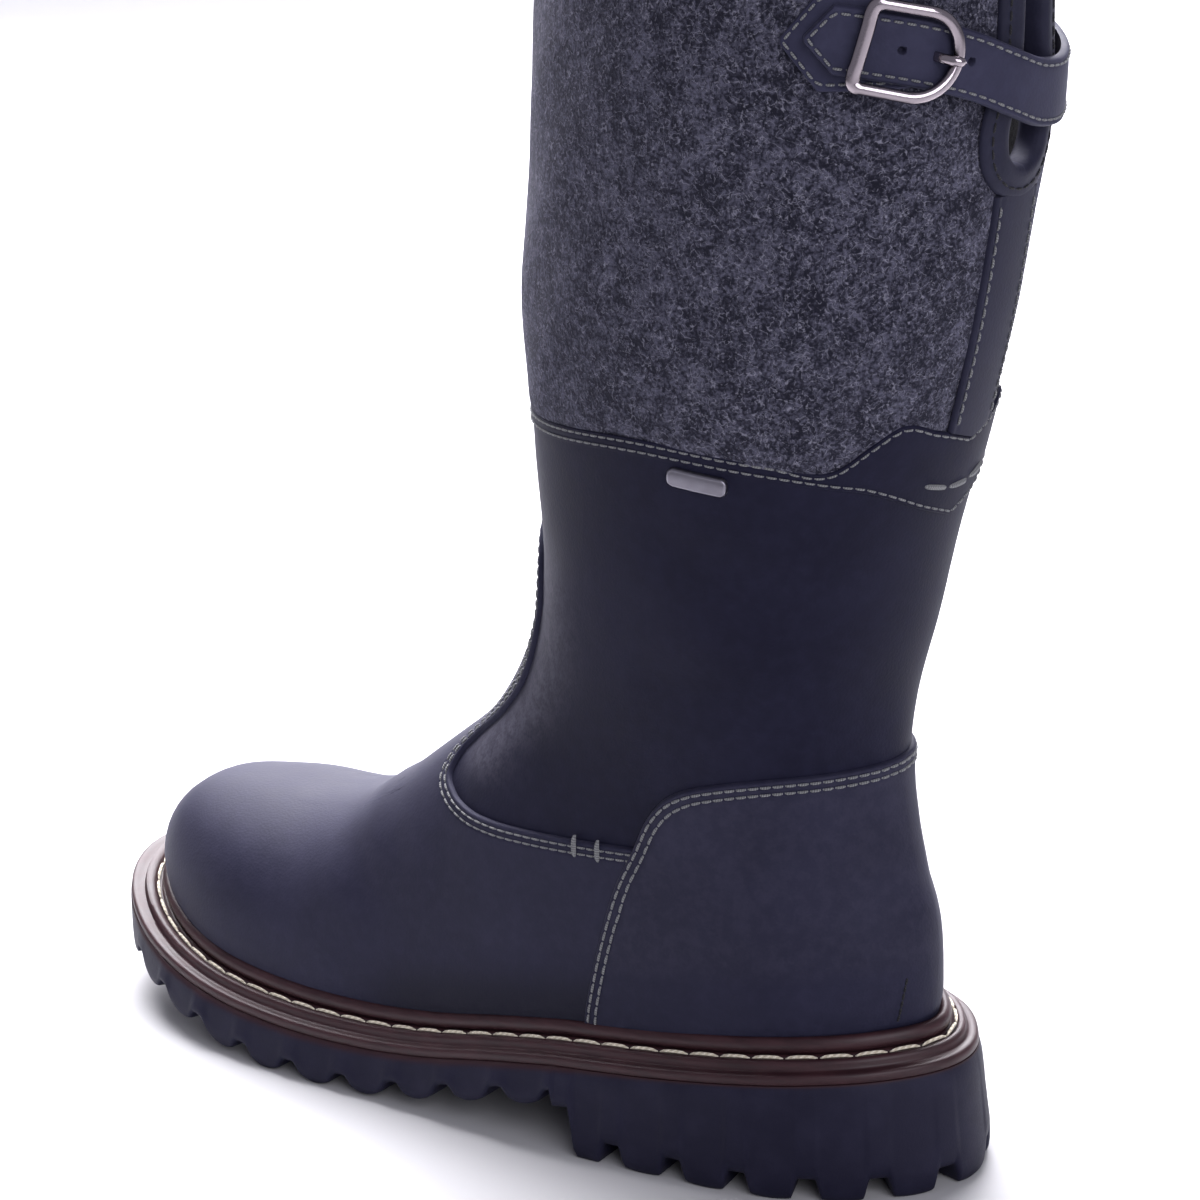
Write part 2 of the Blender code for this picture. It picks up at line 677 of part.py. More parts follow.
STRAP = np.array([
    # u round the shaft, height of the middle, half width, distance from the shaft
    (-0.190, 320.5, 0.6, 0.3),
    (-0.168, 318.5, 8.9, 0.3),
    (-0.110, 313.5, 8.9, 0.4),
    (-0.060, 310.5, 8.9, 1.6),
    (-0.025, 310.0, 8.9, 2.4),
    (0.000, 311.3, 8.9, 2.3),
    (0.030, 315.8, 8.9, 2.5),
    (0.060, 321.0, 8.9, 2.7),
    (0.098, 326.0, 8.9, 3.4),
    (0.126, 328.5, 8.9, 2.5),
    (0.147, 330.0, 8.9, 2.2),
    (0.164, 330.4, 0.6, 2.2),
])
PATCH = np.array([
    # u round the shaft, half height of the pointed patch
    (0.102, 13.0),
    (0.117, 13.0),
    (0.132, 13.0),
    (0.144, 13.0),
    (0.155, 13.0),
    (0.164, 8.3),
    (0.172, 4.0),
    (0.178, 0.8),
])
PATCH_MIDDLE = 329.5
BUCKLE_U = 0.104


def strap_at(u, column):
    """Column of the strap's table at a place round the shaft."""
    if column == 2:
        return np.interp(u, STRAP[:, 0], STRAP[:, 2])
    return through(u, STRAP[:, 0], STRAP[:, column])


def make_strap(leather):
    """Strap across the slit and the pointed patch that its buckle is sewn on."""
    u = np.union1d(np.linspace(STRAP[0, 0], STRAP[-1, 0], 21), STRAP[:, 0])
    middle, half = strap_at(u, 1), strap_at(u, 2)
    strip("strap", u, middle - half, middle + half, strap_at(u, 3), STRAP_THICKNESS, 3, False, leather)
    u, half = PATCH.T
    strip("strap_patch", u, PATCH_MIDDLE - half, PATCH_MIDDLE + half, GAP, PANEL, 3, False, leather)


def buckle_spot(along, up, offset):
    """Point over the strap near the buckle: along the strap to the back, across it, and out from it."""
    step = 0.02
    ends = BUCKLE_U + np.array([-step, step])
    heights = strap_at(ends, 1)
    girth = np.linalg.norm(np.diff(on_shaft(ends, heights, 0.0), axis=0)) / (2.0 * step)
    lean = math.atan((heights[1] - heights[0]) / (2.0 * step * girth))
    u = BUCKLE_U - (along * math.cos(lean) + up * math.sin(lean)) / girth
    z = strap_at(BUCKLE_U, 1) - along * math.sin(lean) + up * math.cos(lean)
    return on_shaft(u, z, strap_at(u, 3) + STRAP_THICKNESS + offset)


def rod(name, place, closed, radii, sides, material):
    """Rod along a path over the strap; place gives the path at a distance out from the strap."""
    path = place(0.0)
    out = place(1.0) - path
    out /= np.linalg.norm(out, axis=1, keepdims=True)
    along = np.roll(path, -1, axis=0) - np.roll(path, 1, axis=0) if closed else np.gradient(path, axis=0)
    side = np.cross(along, out)
    side /= np.linalg.norm(side, axis=1, keepdims=True)
    turn = 2.0 * math.pi * np.arange(sides) / sides
    ring = (np.cos(turn)[None, :, None] * side[:, None] + np.sin(turn)[None, :, None] * out[:, None])
    sweep(name, path[:, None] + ring * np.asarray(radii)[:, None, None], closed, material)


BUCKLE_BAR = np.array([
    # distance in front of the bar's line, share of the half height
    (3.0, 1.0),
    (0.6, 0.93),
    (0.0, 0.72),
    (0.0, 0.0),
    (0.0, -0.72),
    (0.6, -0.93),
    (3.0, -1.0),
])
PRONG = np.array([
    # distance along the strap, height over it, radius
    (4.6, 1.6, 0.9),
    (6.4, 1.8, 1.2),
    (8.2, 3.4, 1.2),
    (9.9, 5.4, 1.2),
    (12.0, 5.6, 1.1),
    (13.2, 5.2, 0.8),
])


def make_buckle(metal):
    """Fastened buckle: a frame with a straight bar and a round side, and its prong."""
    half_length, half_height = BUCKLE_LENGTH / 2.0 - BUCKLE_WIRE, BUCKLE_HEIGHT / 2.0 - BUCKLE_WIRE
    turn = np.linspace(-math.pi / 2.0, math.pi / 2.0, 13)
    bow = np.column_stack([1.5 + (half_length - 1.5) * np.cos(turn), half_height * np.sin(turn)])
    bar = BUCKLE_BAR * (1.0, half_height) - (half_length, 0.0)
    along, up = np.concatenate([bow, bar]).T
    wire = np.full(len(along), BUCKLE_WIRE)
    rod("buckle_frame", lambda out: buckle_spot(along, up, GAP + BUCKLE_WIRE + out), True, wire, 8, metal)
    reach, climb, radii = PRONG.T
    level_up = np.zeros(len(reach))
    rod("buckle_prong", lambda out: buckle_spot(reach, level_up, climb + out), False, radii, 8, metal)


def make_plate(metal):
    """Small plain plate on the outer side, under the seam band."""
    u_middle, z_middle = PLATE_PLACE
    length, height, thickness = PLATE_SIZE
    u = u_middle + np.linspace(-0.5, 0.5, 4) * length / SHAFT_GIRTH
    z = np.full(4, z_middle)
    strip("side_plate", u, z - height / 2.0, z + height / 2.0, GAP, thickness, 2, False, metal)


def make_seam_band(material):
    """Band over the joint of leather and felt, deeper at the back."""
    u = np.arange(BAND_COLUMNS) / BAND_COLUMNS
    strip("seam_band", u, band_edge(u, 1), band_edge(u, 2), GAP, BAND_THICKNESS, 2, True, material)


BOOT = bpy.data.objects.new("boot", None)
bpy.context.scene.collection.objects.link(BOOT)


def main():
    rubber = paint("rubber", (0.018, 0.018, 0.024), 0.6)
    welt = paint("welt_brown", (0.055, 0.030, 0.024), 0.45)
    leather = paint("leather", (0.022, 0.023, 0.034), 0.55)
    felt = paint("felt", (0.045, 0.045, 0.060), 0.95)
    fleece = paint("fleece", (0.55, 0.50, 0.42), 0.95)
    metal = paint("nickel", (0.45, 0.42, 0.44), 0.35, 1.0)
    make_outsole(rubber)
    make_welt(welt)
    make_rand(welt)
    make_insole(fleece)
    make_upper(leather)
    make_shaft(felt)
    make_vamp(leather)
    make_counter(leather)
    make_seam_band(leather)
    make_back_strip(leather)
    make_facing(leather)
    make_collar(leather)
    make_strap(leather)
    make_buckle(metal)
    make_plate(metal)


main()
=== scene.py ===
# %% [markdown]
# # A winter boot, dressed
# The solids of the boot are loaded first. Everything after this is a surface laid over them: leather
# panels, felt, rubber, thread and metal. All sizes are in millimetres in the maker's own frame, where x
# runs from the back of the sole to the toe, y to the outer side and z up from the floor.

# %% Load the frame
import math

import bmesh
import bpy
import numpy as np
from mathutils import Matrix


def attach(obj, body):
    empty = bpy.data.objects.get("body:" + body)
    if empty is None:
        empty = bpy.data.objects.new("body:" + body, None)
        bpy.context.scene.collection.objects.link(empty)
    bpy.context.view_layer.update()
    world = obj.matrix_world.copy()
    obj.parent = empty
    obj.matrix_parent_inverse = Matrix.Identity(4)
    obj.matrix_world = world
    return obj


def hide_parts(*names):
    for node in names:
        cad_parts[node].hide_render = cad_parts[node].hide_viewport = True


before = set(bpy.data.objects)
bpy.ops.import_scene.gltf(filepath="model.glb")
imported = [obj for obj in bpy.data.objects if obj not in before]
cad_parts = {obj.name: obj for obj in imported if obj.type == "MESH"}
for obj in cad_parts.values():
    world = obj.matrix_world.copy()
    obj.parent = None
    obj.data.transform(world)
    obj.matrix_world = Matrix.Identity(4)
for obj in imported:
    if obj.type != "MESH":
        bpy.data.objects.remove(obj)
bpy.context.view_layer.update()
MM = 0.001
HEEL_CENTRE = 45.0
GAP = 0.3

# %% [markdown]
# ## Small helpers
# Some lines come back in many steps, so they are written once: arrows of length 1, the length of a path, an
# object in the scene, and an object turned to given axes.

# %% Small helpers
TURN = 2.0 * math.pi
UPWARDS = (0.0, 0.0, 1.0)


def unit(arrows):
    """Arrows of length 1: each is divided by the root of the sum of its squares."""
    return arrows / np.linalg.norm(arrows, axis=-1, keepdims=True)


def run_length(points):
    """Length of a path up to each of its points: the steps between neighbours, added up."""
    return np.concatenate([[0.0], np.cumsum(np.linalg.norm(np.diff(points, axis=0), axis=1))])


def add_object(name, data):
    """Object that shows some data, linked into the scene."""
    thing = bpy.data.objects.new(name, data)
    bpy.context.scene.collection.objects.link(thing)
    return thing


def aim(thing, x_axis, y_axis, z_axis, place):
    """Turns an object to three axes and moves it to a place."""
    columns = np.column_stack([x_axis, y_axis, z_axis, place])
    thing.matrix_world = Matrix(np.vstack([columns, (0.0, 0.0, 0.0, 1.0)]).tolist())


print("an arrow of length 1:", unit(np.array([3.0, 4.0, 0.0])))

# %% [markdown]
# ## Camera
# The boot was photographed from behind its outer side and a little above, with a long lens. A camera can be
# aimed with a constraint, but here its axes are worked out directly, so that the small roll is exact.

# %% Camera
CAMERA_TURN = math.radians(37.0)
CAMERA_RISE = math.radians(17.7)
CAMERA_ROLL = math.radians(-2.2)
CAMERA_DISTANCE = 1.1
CAMERA_TARGET = np.array([0.0777, 0.0, 0.1515])
SENSOR_WIDTH = 36.0
FOCAL_PIXELS = 3794.0
FRAME_PIXELS = 1200.0

backwards = np.array([-math.sin(CAMERA_TURN) * math.cos(CAMERA_RISE),
                      math.cos(CAMERA_TURN) * math.cos(CAMERA_RISE), math.sin(CAMERA_RISE)])
level_right = unit(np.cross(-backwards, UPWARDS))
level_up = np.cross(level_right, -backwards)
right = math.cos(CAMERA_ROLL) * level_right + math.sin(CAMERA_ROLL) * level_up
up = -math.sin(CAMERA_ROLL) * level_right + math.cos(CAMERA_ROLL) * level_up
camera = add_object("camera", bpy.data.cameras.new("camera"))
camera.data.sensor_width = SENSOR_WIDTH
camera.data.lens = FOCAL_PIXELS * SENSOR_WIDTH / FRAME_PIXELS
aim(camera, right, up, backwards, CAMERA_TARGET + CAMERA_DISTANCE * backwards)
bpy.context.scene.camera = camera
print("lens in millimetres:", round(camera.data.lens, 1))

# %% [markdown]
# ## Light
# A dark boot on white is lit by its surroundings: the bright background gives the pale edges of the
# leather, and a large soft light above and behind the toe gives the glow on its top. The world adds a
# little from everywhere.

# %% Light
LIGHTS = (
    # name, place and target in metres, size, power, colour
    ("top_back", (0.70, -0.65, 1.20), (0.15, 0.0, 0.1), 1.3, 82.0, (0.98, 0.96, 1.0)),
    ("low_back", (1.15, -1.5, 0.75), (0.15, 0.0, 0.1), 1.3, 20.0, (0.95, 0.93, 1.0)),
    ("outer_fill", (-2.25, 1.25, 1.5), (0.0, 0.0, 0.15), 2.1, 52.0, (0.94, 0.93, 1.0)),
    ("backdrop", (0.8, -1.1, 2.6), (1.7, -2.3, 0.7), 1.6, 140.0, (0.96, 0.95, 1.0)),
)
WORLD_COLOUR = (0.87, 0.86, 1.0, 1.0)
WORLD_STRENGTH = 0.32


def area_light(name, place, target, size, power, colour):
    """Square soft light at a place, aimed at a target."""
    light = bpy.data.lights.new(name, "AREA")
    light.size, light.energy, light.color = size, power, colour
    away = unit(np.subtract(place, target))
    side = unit(np.cross(UPWARDS, away))
    aim(add_object(name, light), side, np.cross(away, side), away, place)


for light_row in LIGHTS:
    area_light(*light_row)
world = bpy.data.worlds.new("studio")
world.use_nodes = True
glow = world.node_tree.nodes["Background"].inputs
glow["Color"].default_value = WORLD_COLOUR
glow["Strength"].default_value = WORLD_STRENGTH
bpy.context.scene.world = world
bpy.context.scene.view_settings.view_transform = "Standard"
print("lights:", [light_row[0] for light_row in LIGHTS])

# %% [markdown]
# ## Floor
# The floor curves up into a backdrop behind the boot, so that no horizon shows. It is one line that runs
# away from the camera, pulled out to both sides.

# %% Floor and backdrop
FLOOR_HALF = 5.0
FLOOR_SIDE = 14.0
WALL_AT = 2.4
WALL_ROUND = 0.8
WALL_HEIGHT = 2.6
FLOOR_COLOUR = (0.46, 0.46, 0.47, 1.0)
FLOOR_ROUGHNESS = 0.8

away = np.array([-backwards[0], -backwards[1], 0.0]) / math.cos(CAMERA_RISE)
across = np.array([-away[1], away[0], 0.0])
bend = np.linspace(0.0, TURN / 4.0, 17)
reach = np.concatenate([[-FLOOR_HALF], WALL_AT + WALL_ROUND * np.sin(bend), [WALL_AT + WALL_ROUND]])
rise = np.concatenate([[0.0], WALL_ROUND * (1.0 - np.cos(bend)), [WALL_HEIGHT]])
line = reach[:, None] * away + rise[:, None] * UPWARDS
edges = np.stack([line - FLOOR_SIDE * across, line + FLOOR_SIDE * across], 1).reshape(-1, 3)
first_corner = 2 * np.arange(len(line) - 1)[:, None]
floor_mesh = bpy.data.meshes.new("floor")
floor_mesh.from_pydata(edges.tolist(), [], (first_corner + (0, 2, 3, 1)).tolist())
floor_mesh.shade_smooth()
floor = add_object("floor", floor_mesh)
floor_paint = bpy.data.materials.new("pale_floor")
floor_paint.use_nodes = True
paint_sockets = floor_paint.node_tree.nodes["Principled BSDF"].inputs
paint_sockets["Base Color"].default_value = FLOOR_COLOUR
paint_sockets["Roughness"].default_value = FLOOR_ROUGHNESS
floor_mesh.materials.append(floor_paint)
print("floor and backdrop of", len(line) - 1, "faces")

# %% [markdown]
# ## Shader arithmetic
# Node trees are easier to read as formulas. `Value` wraps the output of a node, and its operators add Math
# nodes, so `1 - mask` means what it says. `Finish` is one material: it adds any other node by its type.

# %% Shader arithmetic
class Value:
    """A number that varies over a surface; arithmetic on it adds Math nodes."""

    def __init__(self, finish, socket):
        self.finish = finish
        self.socket = socket

    def math(self, operation, first, second=0.0):
        """Math node with two inputs."""
        return self.finish.node("ShaderNodeMath", {"operation": operation}, {0: first, 1: second})

    def __add__(self, other):
        return self.math("ADD", self, other)

    def __sub__(self, other):
        return self.math("SUBTRACT", self, other)

    def __rsub__(self, other):
        return self.math("SUBTRACT", other, self)

    def __mul__(self, other):
        return self.math("MULTIPLY", self, other)

    __radd__ = __add__
    __rmul__ = __mul__

    def wave(self):
        """Sine of the number."""
        return self.math("SINE", self)

    def step(self, low, high):
        """Soft step that is 0 below low and 1 above high."""
        return self.finish.node("ShaderNodeMapRange", {"interpolation_type": "SMOOTHSTEP"},
                                {"Value": self, "From Min": low, "From Max": high})


class Finish:
    """One material: a Principled shader whose constant sockets are set, and whose others are linked."""

    def __init__(self, name, slot, **constants):
        self.slot = slot
        self.material = bpy.data.materials.new(name)
        self.material.use_nodes = True
        self.tree = self.material.node_tree
        self.shader = self.tree.nodes["Principled BSDF"]
        for socket, value in constants.items():
            self.shader.inputs[socket.replace("_", " ")].default_value = value
        self.place = self.node("ShaderNodeTexCoord", output="Object")

    def node(self, kind, settings=None, inputs=None, output=0):
        """Adds a node of any type: its settings first, then its sockets, by value or by link."""
        node = self.tree.nodes.new(kind)
        for key, value in (settings or {}).items():
            setattr(node, key, value)
        for key, value in (inputs or {}).items():
            if isinstance(value, Value):
                self.tree.links.new(value.socket, node.inputs[key])
            else:
                node.inputs[key].default_value = value
        return Value(self, node.outputs[output])

    def noise(self, size, detail=3.0, stretch=(1.0, 1.0, 1.0), roughness=0.5):
        """Cloudy noise whose lumps are about size millimetres across, stretched along the axes."""
        scale = [1.0 / (MM * size * s) for s in stretch]
        spot = self.node("ShaderNodeMapping", None, {"Vector": self.place, "Scale": scale})
        return self.node("ShaderNodeTexNoise", None, {"Vector": spot, "Scale": 1.0, "Detail": detail,
                                                      "Roughness": roughness})

    def cells(self, size):
        """Distance to scattered points about size millimetres apart."""
        spot = self.node("ShaderNodeMapping", None, {"Vector": self.place, "Scale": [1.0 / (MM * size)] * 3})
        return self.node("ShaderNodeTexVoronoi", None, {"Vector": spot, "Scale": 1.0}, "Distance")

    def mix(self, factor, first, second):
        """Colour between two colours."""
        first, second = ((*c, 1.0) if isinstance(c, tuple) else c for c in (first, second))
        return self.node("ShaderNodeMix", {"data_type": "RGBA"}, {0: factor, 6: first, 7: second}, 2)

    def mark(self):
        """Share painted on the mesh: worn leather with painted light (below 0, painted shade), brown rubber,
        or the brightness of metal, a painted highlight on the buckle.
        """
        return self.node("ShaderNodeAttribute", {"attribute_name": "mark"}, output="Fac")

    def link(self, socket, value):
        """Feeds a value to one of the shader's sockets."""
        self.tree.links.new(value.socket, self.shader.inputs[socket])

    def bump(self, height, depth):
        """Relief of that depth in millimetres where height goes from 0 to 1."""
        self.link("Normal", self.node("ShaderNodeBump", None, {"Height": height, "Distance": depth * MM}))


print("operators of a value:", [name for name in vars(Value) if name.startswith("__r")])


# %% [markdown]
# ## Finishes
# Waxed nubuck is almost black, with a bluish cast, a fine grain and a nap that turns pale at a flat angle.
# Where the mesh is marked the colour is lifted towards a pale tone: a worn band up the ankle's front that is
# partly a painted highlight, and painted light over the panels. Below 0 the mark paints shade just above the
# sole.

# %% Leather
# The pale tone is worn nap and painted light; the near-black tone is painted shade just above the sole.
BARE_AND_LIT_COLOUR = (0.062, 0.059, 0.080)
PAINTED_SHADE_COLOUR = (0.0030, 0.0029, 0.0090)


def leather(name, base, worn, shine=0.22):
    """Nubuck: slow patches where the wax is worn, a fine pebble grain and a few lighter rubs."""
    finish = Finish(name, "leather", Specular_IOR_Level=shine, Specular_Tint=(0.85, 0.86, 1.0, 1.0),
                    Sheen_Weight=shine * 0.2, Sheen_Roughness=0.4, Sheen_Tint=(0.72, 0.72, 0.9, 1.0))
    patches = finish.noise(26.0, 4.0)
    mottle = finish.noise(4.0, 5.0, roughness=0.65)
    pebble = finish.cells(0.9)
    rubs = finish.noise(11.0, 6.0, (1.0, 1.0, 2.2), 0.7).step(0.60, 0.78)
    tone = patches.step(0.32, 0.72) * 0.40 + mottle.step(0.35, 0.75) * 0.35 + rubs * 0.35
    # A positive mark lifts the colour towards the pale tone: worn nap that is partly a painted highlight, and
    # painted light on the panels. A negative mark darkens it to painted shade.
    mark = finish.mark()
    rubbed_and_lit_share = mark * (0.25 + mottle.step(0.38, 0.62) * 0.5 + pebble * 0.4)
    painted_shade = finish.mix((mark * -1.0).step(0.0, 1.0), finish.mix(tone, base, worn), PAINTED_SHADE_COLOUR)
    finish.link("Base Color", finish.mix(rubbed_and_lit_share, painted_shade, BARE_AND_LIT_COLOUR))
    finish.link("Roughness", 0.52 + patches * 0.12 + mottle * 0.14 - rubs * 0.05)
    finish.bump(pebble * 0.6 + mottle * 0.5, 0.06)
    return finish


NUBUCK = leather("nubuck", (0.0100, 0.0098, 0.0250), (0.0220, 0.0215, 0.0455))
QUARTER = leather("shaft_nubuck", (0.0048, 0.0047, 0.0150), (0.0132, 0.0130, 0.0310), shine=0.15)
TRIM = leather("trim_leather", (0.0100, 0.0100, 0.0220), (0.0230, 0.0230, 0.0440))
STRAP_HIDE = leather("strap_leather", (0.0220, 0.0220, 0.0450), (0.0420, 0.0420, 0.0780))
print("leathers:", [hide.material.name for hide in (NUBUCK, QUARTER, TRIM, STRAP_HIDE)])

# %% [markdown]
# Felt is pressed wool: dark and light fibres lie in every direction. Thread is wound from plies, so its
# pattern has to follow the stitch. An attribute of the mesh, which holds the length along it, does that.

# %% Felt, fleece and thread
def felt():
    """Wool felt: dark and mid tufts, and pale curled fibres where a noise crosses its middle value."""
    finish = Finish("wool_felt", "felt", Roughness=0.95, Specular_IOR_Level=0.12, Sheen_Weight=0.12,
                    Sheen_Roughness=0.6, Sheen_Tint=(0.8, 0.8, 1.0, 1.0))
    clouds = finish.noise(10.0, 3.0)
    tufts = finish.noise(3.0, 4.0, roughness=0.6)
    grain = finish.noise(0.9, 2.0, roughness=0.6)

    def curls(size, fine):
        line = finish.noise(size, 0.6) - 0.5
        return 1.0 - (line * line).step(0.0, fine)

    hairs = curls(2.4, 0.0005) * grain.step(0.42, 0.58) + curls(1.5, 0.0006) * tufts.step(0.46, 0.60)
    tone = clouds * 0.5 + tufts * 0.9 + grain * 1.3
    wool = finish.mix(tone.step(1.12, 1.80), (0.0050, 0.0050, 0.0115), (0.096, 0.095, 0.135))
    finish.link("Base Color", finish.mix(hairs * 0.6, wool, (0.26, 0.258, 0.32)))
    finish.bump(tufts * 0.7 + grain * 0.8 + hairs * 0.3, 0.6)
    return finish


def fleece(name, slot, dark, pale):
    """Wool lining: small curls."""
    finish = Finish(name, slot, Roughness=0.95, Sheen_Weight=0.1)
    curls = finish.noise(2.2, 5.0, roughness=0.7)
    finish.link("Base Color", finish.mix(curls, dark, pale))
    finish.bump(curls, 1.2)
    return finish


def thread(name, slot, base, light, twist, fuzzy=0.15):
    """Plied thread: the attribute run gives millimetres along and turns round, and the plies wind."""
    finish = Finish(name, slot, Roughness=0.75, Sheen_Weight=fuzzy)
    run = finish.node("ShaderNodeAttribute", {"attribute_name": "run"}, output="Vector")
    parts = finish.node("ShaderNodeSeparateXYZ", None, {"Vector": run})
    turns = Value(finish, parts.socket.node.outputs[1])
    plies = (parts * twist + turns * TURN).wave() * 0.5 + 0.5
    fuzz = finish.noise(0.5, 3.0)
    finish.link("Base Color", finish.mix(plies * 0.7 + fuzz * 0.4, base, light))
    finish.bump(plies * 0.8 + fuzz * 0.4, 0.25)
    return finish


FELT = felt()
FLEECE = fleece("wool_footbed", "fleece", (0.30, 0.27, 0.22), (0.62, 0.57, 0.48))
LINING = fleece("wool_lining", "felt", (0.004, 0.004, 0.007), (0.014, 0.014, 0.020))
SEWING = thread("seam_thread", "leather", (0.070, 0.073, 0.078), (0.24, 0.245, 0.25), 9.0)
WELT_THREAD = thread("welt_thread", "leather", (0.50, 0.44, 0.32), (0.86, 0.80, 0.65), 3.0)
# Near-black thread for the dark seams; the same thread is laid along the counter's dart as its painted shade.
DARK_THREAD_AND_SLIT_SHADE = thread("dark_thread_and_slit_shade", "leather", (0.003, 0.003, 0.005), (0.010, 0.010, 0.014), 9.0, 0.0)
print("threads:", [t.material.name for t in (SEWING, WELT_THREAD, DARK_THREAD_AND_SLIT_SHADE)])

# %% [markdown]
# Rubber and welt are plain, with a little brown rubbed off where they meet. Old nickel is painted bright
# where its mesh is marked: on the buckle a painted highlight on the outer faces, with painted shade
# underneath.

# %% Rubber, welt and metal
def rubber():
    """Moulded black rubber with a fine matt skin and some dust in it."""
    finish = Finish("tread_rubber", "rubber", Specular_IOR_Level=0.22, Specular_Tint=(0.86, 0.86, 1.0, 1.0))
    dust = finish.noise(9.0, 5.0)
    skin = finish.noise(0.8, 4.0, roughness=0.7)
    black = finish.mix(dust.step(0.35, 0.8), (0.0078, 0.0073, 0.0200), (0.0122, 0.0116, 0.0275))
    brown = (finish.mark() + skin * 0.4 - 0.2).step(0.05, 0.95)
    finish.link("Base Color", finish.mix(brown, black, (0.026, 0.0105, 0.0125)))
    finish.link("Roughness", 0.48 + skin * 0.18)
    finish.bump(skin, 0.06)
    return finish


def welt_brown():
    """Brown welt: drawn lengthways, satin, darker in streaks."""
    finish = Finish("brown_welt", "welt_brown", Specular_IOR_Level=0.3, Coat_Weight=0.12, Coat_Roughness=0.3)
    clouds = finish.noise(14.0, 4.0)
    streaks = finish.noise(1.4, 4.0, (7.0, 7.0, 1.0), 0.6)
    finish.link("Base Color", finish.mix(clouds * 0.5 + streaks.step(0.3, 0.7) * 0.5,
                                         (0.0150, 0.0045, 0.0068), (0.047, 0.0165, 0.0205)))
    finish.link("Roughness", 0.40 + streaks * 0.2)
    finish.bump(streaks, 0.12)
    return finish


def nickel(name, dark_tone, bright, rough):
    """Old nickel: bright where the mesh mark is high and dark where it is low, with cloudy patches and fine
    scratches; on the buckle the mark is a painted highlight on top and painted shade underneath.
    """
    finish = Finish(name, "nickel", Metallic=1.0)
    smoke = finish.noise(5.0, 3.0)
    scratch = finish.noise(0.5, 3.0, (1.0, 9.0, 1.0))
    finish.link("Base Color", finish.mix((finish.mark() + smoke * 0.3 - 0.15).step(0.2, 1.0), dark_tone, bright))
    finish.link("Roughness", rough + smoke * 0.05 + scratch * 0.06)
    finish.bump(scratch + smoke, 0.015)
    return finish


RUBBER = rubber()
BROWN = welt_brown()
NICKEL = nickel("old_nickel", (0.050, 0.044, 0.050), (0.42, 0.37, 0.40), 0.10)
PEWTER = nickel("dull_nickel", (0.085, 0.082, 0.098), (0.26, 0.25, 0.29), 0.30)
print("hard finishes:", [f.material.name for f in (RUBBER, BROWN, NICKEL, PEWTER)])

# %% [markdown]
# ## Meshes from arrays
# A surface here is a grid of points worked out at once. Numbering the grid row by row gives its faces by
# plain arithmetic. A wall is two such grids joined along their borders, and a sweep is a section carried
# along a path.

# %% Meshes from arrays
BOOT_PIECES = []
WELD_DISTANCE = 1e-7
SLIVER = 1e-8


def grid_faces(rows, columns, ring=False):
    """Quads of a grid numbered row by row; ring joins the last column to the first."""
    j = np.arange(rows - 1)[:, None]
    i = np.arange(columns if ring else columns - 1)[None, :]
    n = (i + 1) % columns
    here, above = j * columns, (j + 1) * columns
    return np.stack([here + i, here + n, above + n, above + i], -1).reshape(-1, 4)


def strip_faces(path, count, closed):
    """Quads between a path of point numbers and the same path in a second grid, numbered count later."""
    ahead = np.roll(path, -1) if closed else path[1:]
    here = path if closed else path[:-1]
    return np.stack([ahead, here, here + count, ahead + count], -1)


def without_repeats(faces):
    """Blocks of faces as one list, each face without a corner that it names twice."""
    return [list(dict.fromkeys(face)) for face in np.concatenate(faces).tolist()]


def make_piece(name, points, faces, finish, nodes=(), run=None, mark=None, crease_angle=45.0):
    """Object from millimetre points: welded, faces outwards, riding on the boot in place of its solids."""
    mesh = bpy.data.meshes.new(name)
    places = (np.asarray(points, float).reshape(-1, 3) - (HEEL_CENTRE, 0.0, 0.0)) * MM
    mesh.from_pydata(places.tolist(), [], faces if isinstance(faces, list) else faces.tolist())
    for label, kind, field, values in (("run", "FLOAT_VECTOR", "vector", run),
                                       ("mark", "FLOAT", "value", mark)):
        if values is not None:
            attribute = mesh.attributes.new(label, kind, "POINT")
            attribute.data.foreach_set(field, np.asarray(values, np.float32).reshape(-1))
    work = bmesh.new()
    work.from_mesh(mesh)
    bmesh.ops.remove_doubles(work, verts=work.verts, dist=WELD_DISTANCE)
    bmesh.ops.dissolve_degenerate(work, edges=work.edges, dist=SLIVER)
    bmesh.ops.recalc_face_normals(work, faces=work.faces)
    work.to_mesh(mesh)
    work.free()
    mesh.shade_smooth()
    mesh.set_sharp_from_angle(angle=math.radians(crease_angle))
    mesh.materials.append(finish.material)
    thing = add_object(name, mesh)
    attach(thing, "root")
    if nodes:
        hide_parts(*nodes)
    BOOT_PIECES.append(thing)
    print(name, "faces:", len(mesh.polygons))
    return thing


def make_wall(name, outer, inner, ring, finish, nodes=(), mark=None):
    """Closed wall between two equal grids."""
    rows, columns = outer.shape[:2]
    count = rows * columns
    numbers = np.arange(count).reshape(rows, columns)
    faces = [grid_faces(rows, columns, ring), grid_faces(rows, columns, ring)[:, ::-1] + count]
    if ring:
        borders = [numbers[0], numbers[-1, ::-1]]
    else:
        borders = [np.concatenate([numbers[0], numbers[1:, -1], numbers[-1, -2::-1], numbers[-2:0:-1, 0]])]
    faces += [strip_faces(border, count, True) for border in borders]
    points = np.concatenate([outer.reshape(-1, 3), inner.reshape(-1, 3)])
    return make_piece(name, points, np.concatenate(faces), finish, nodes, mark=mark)


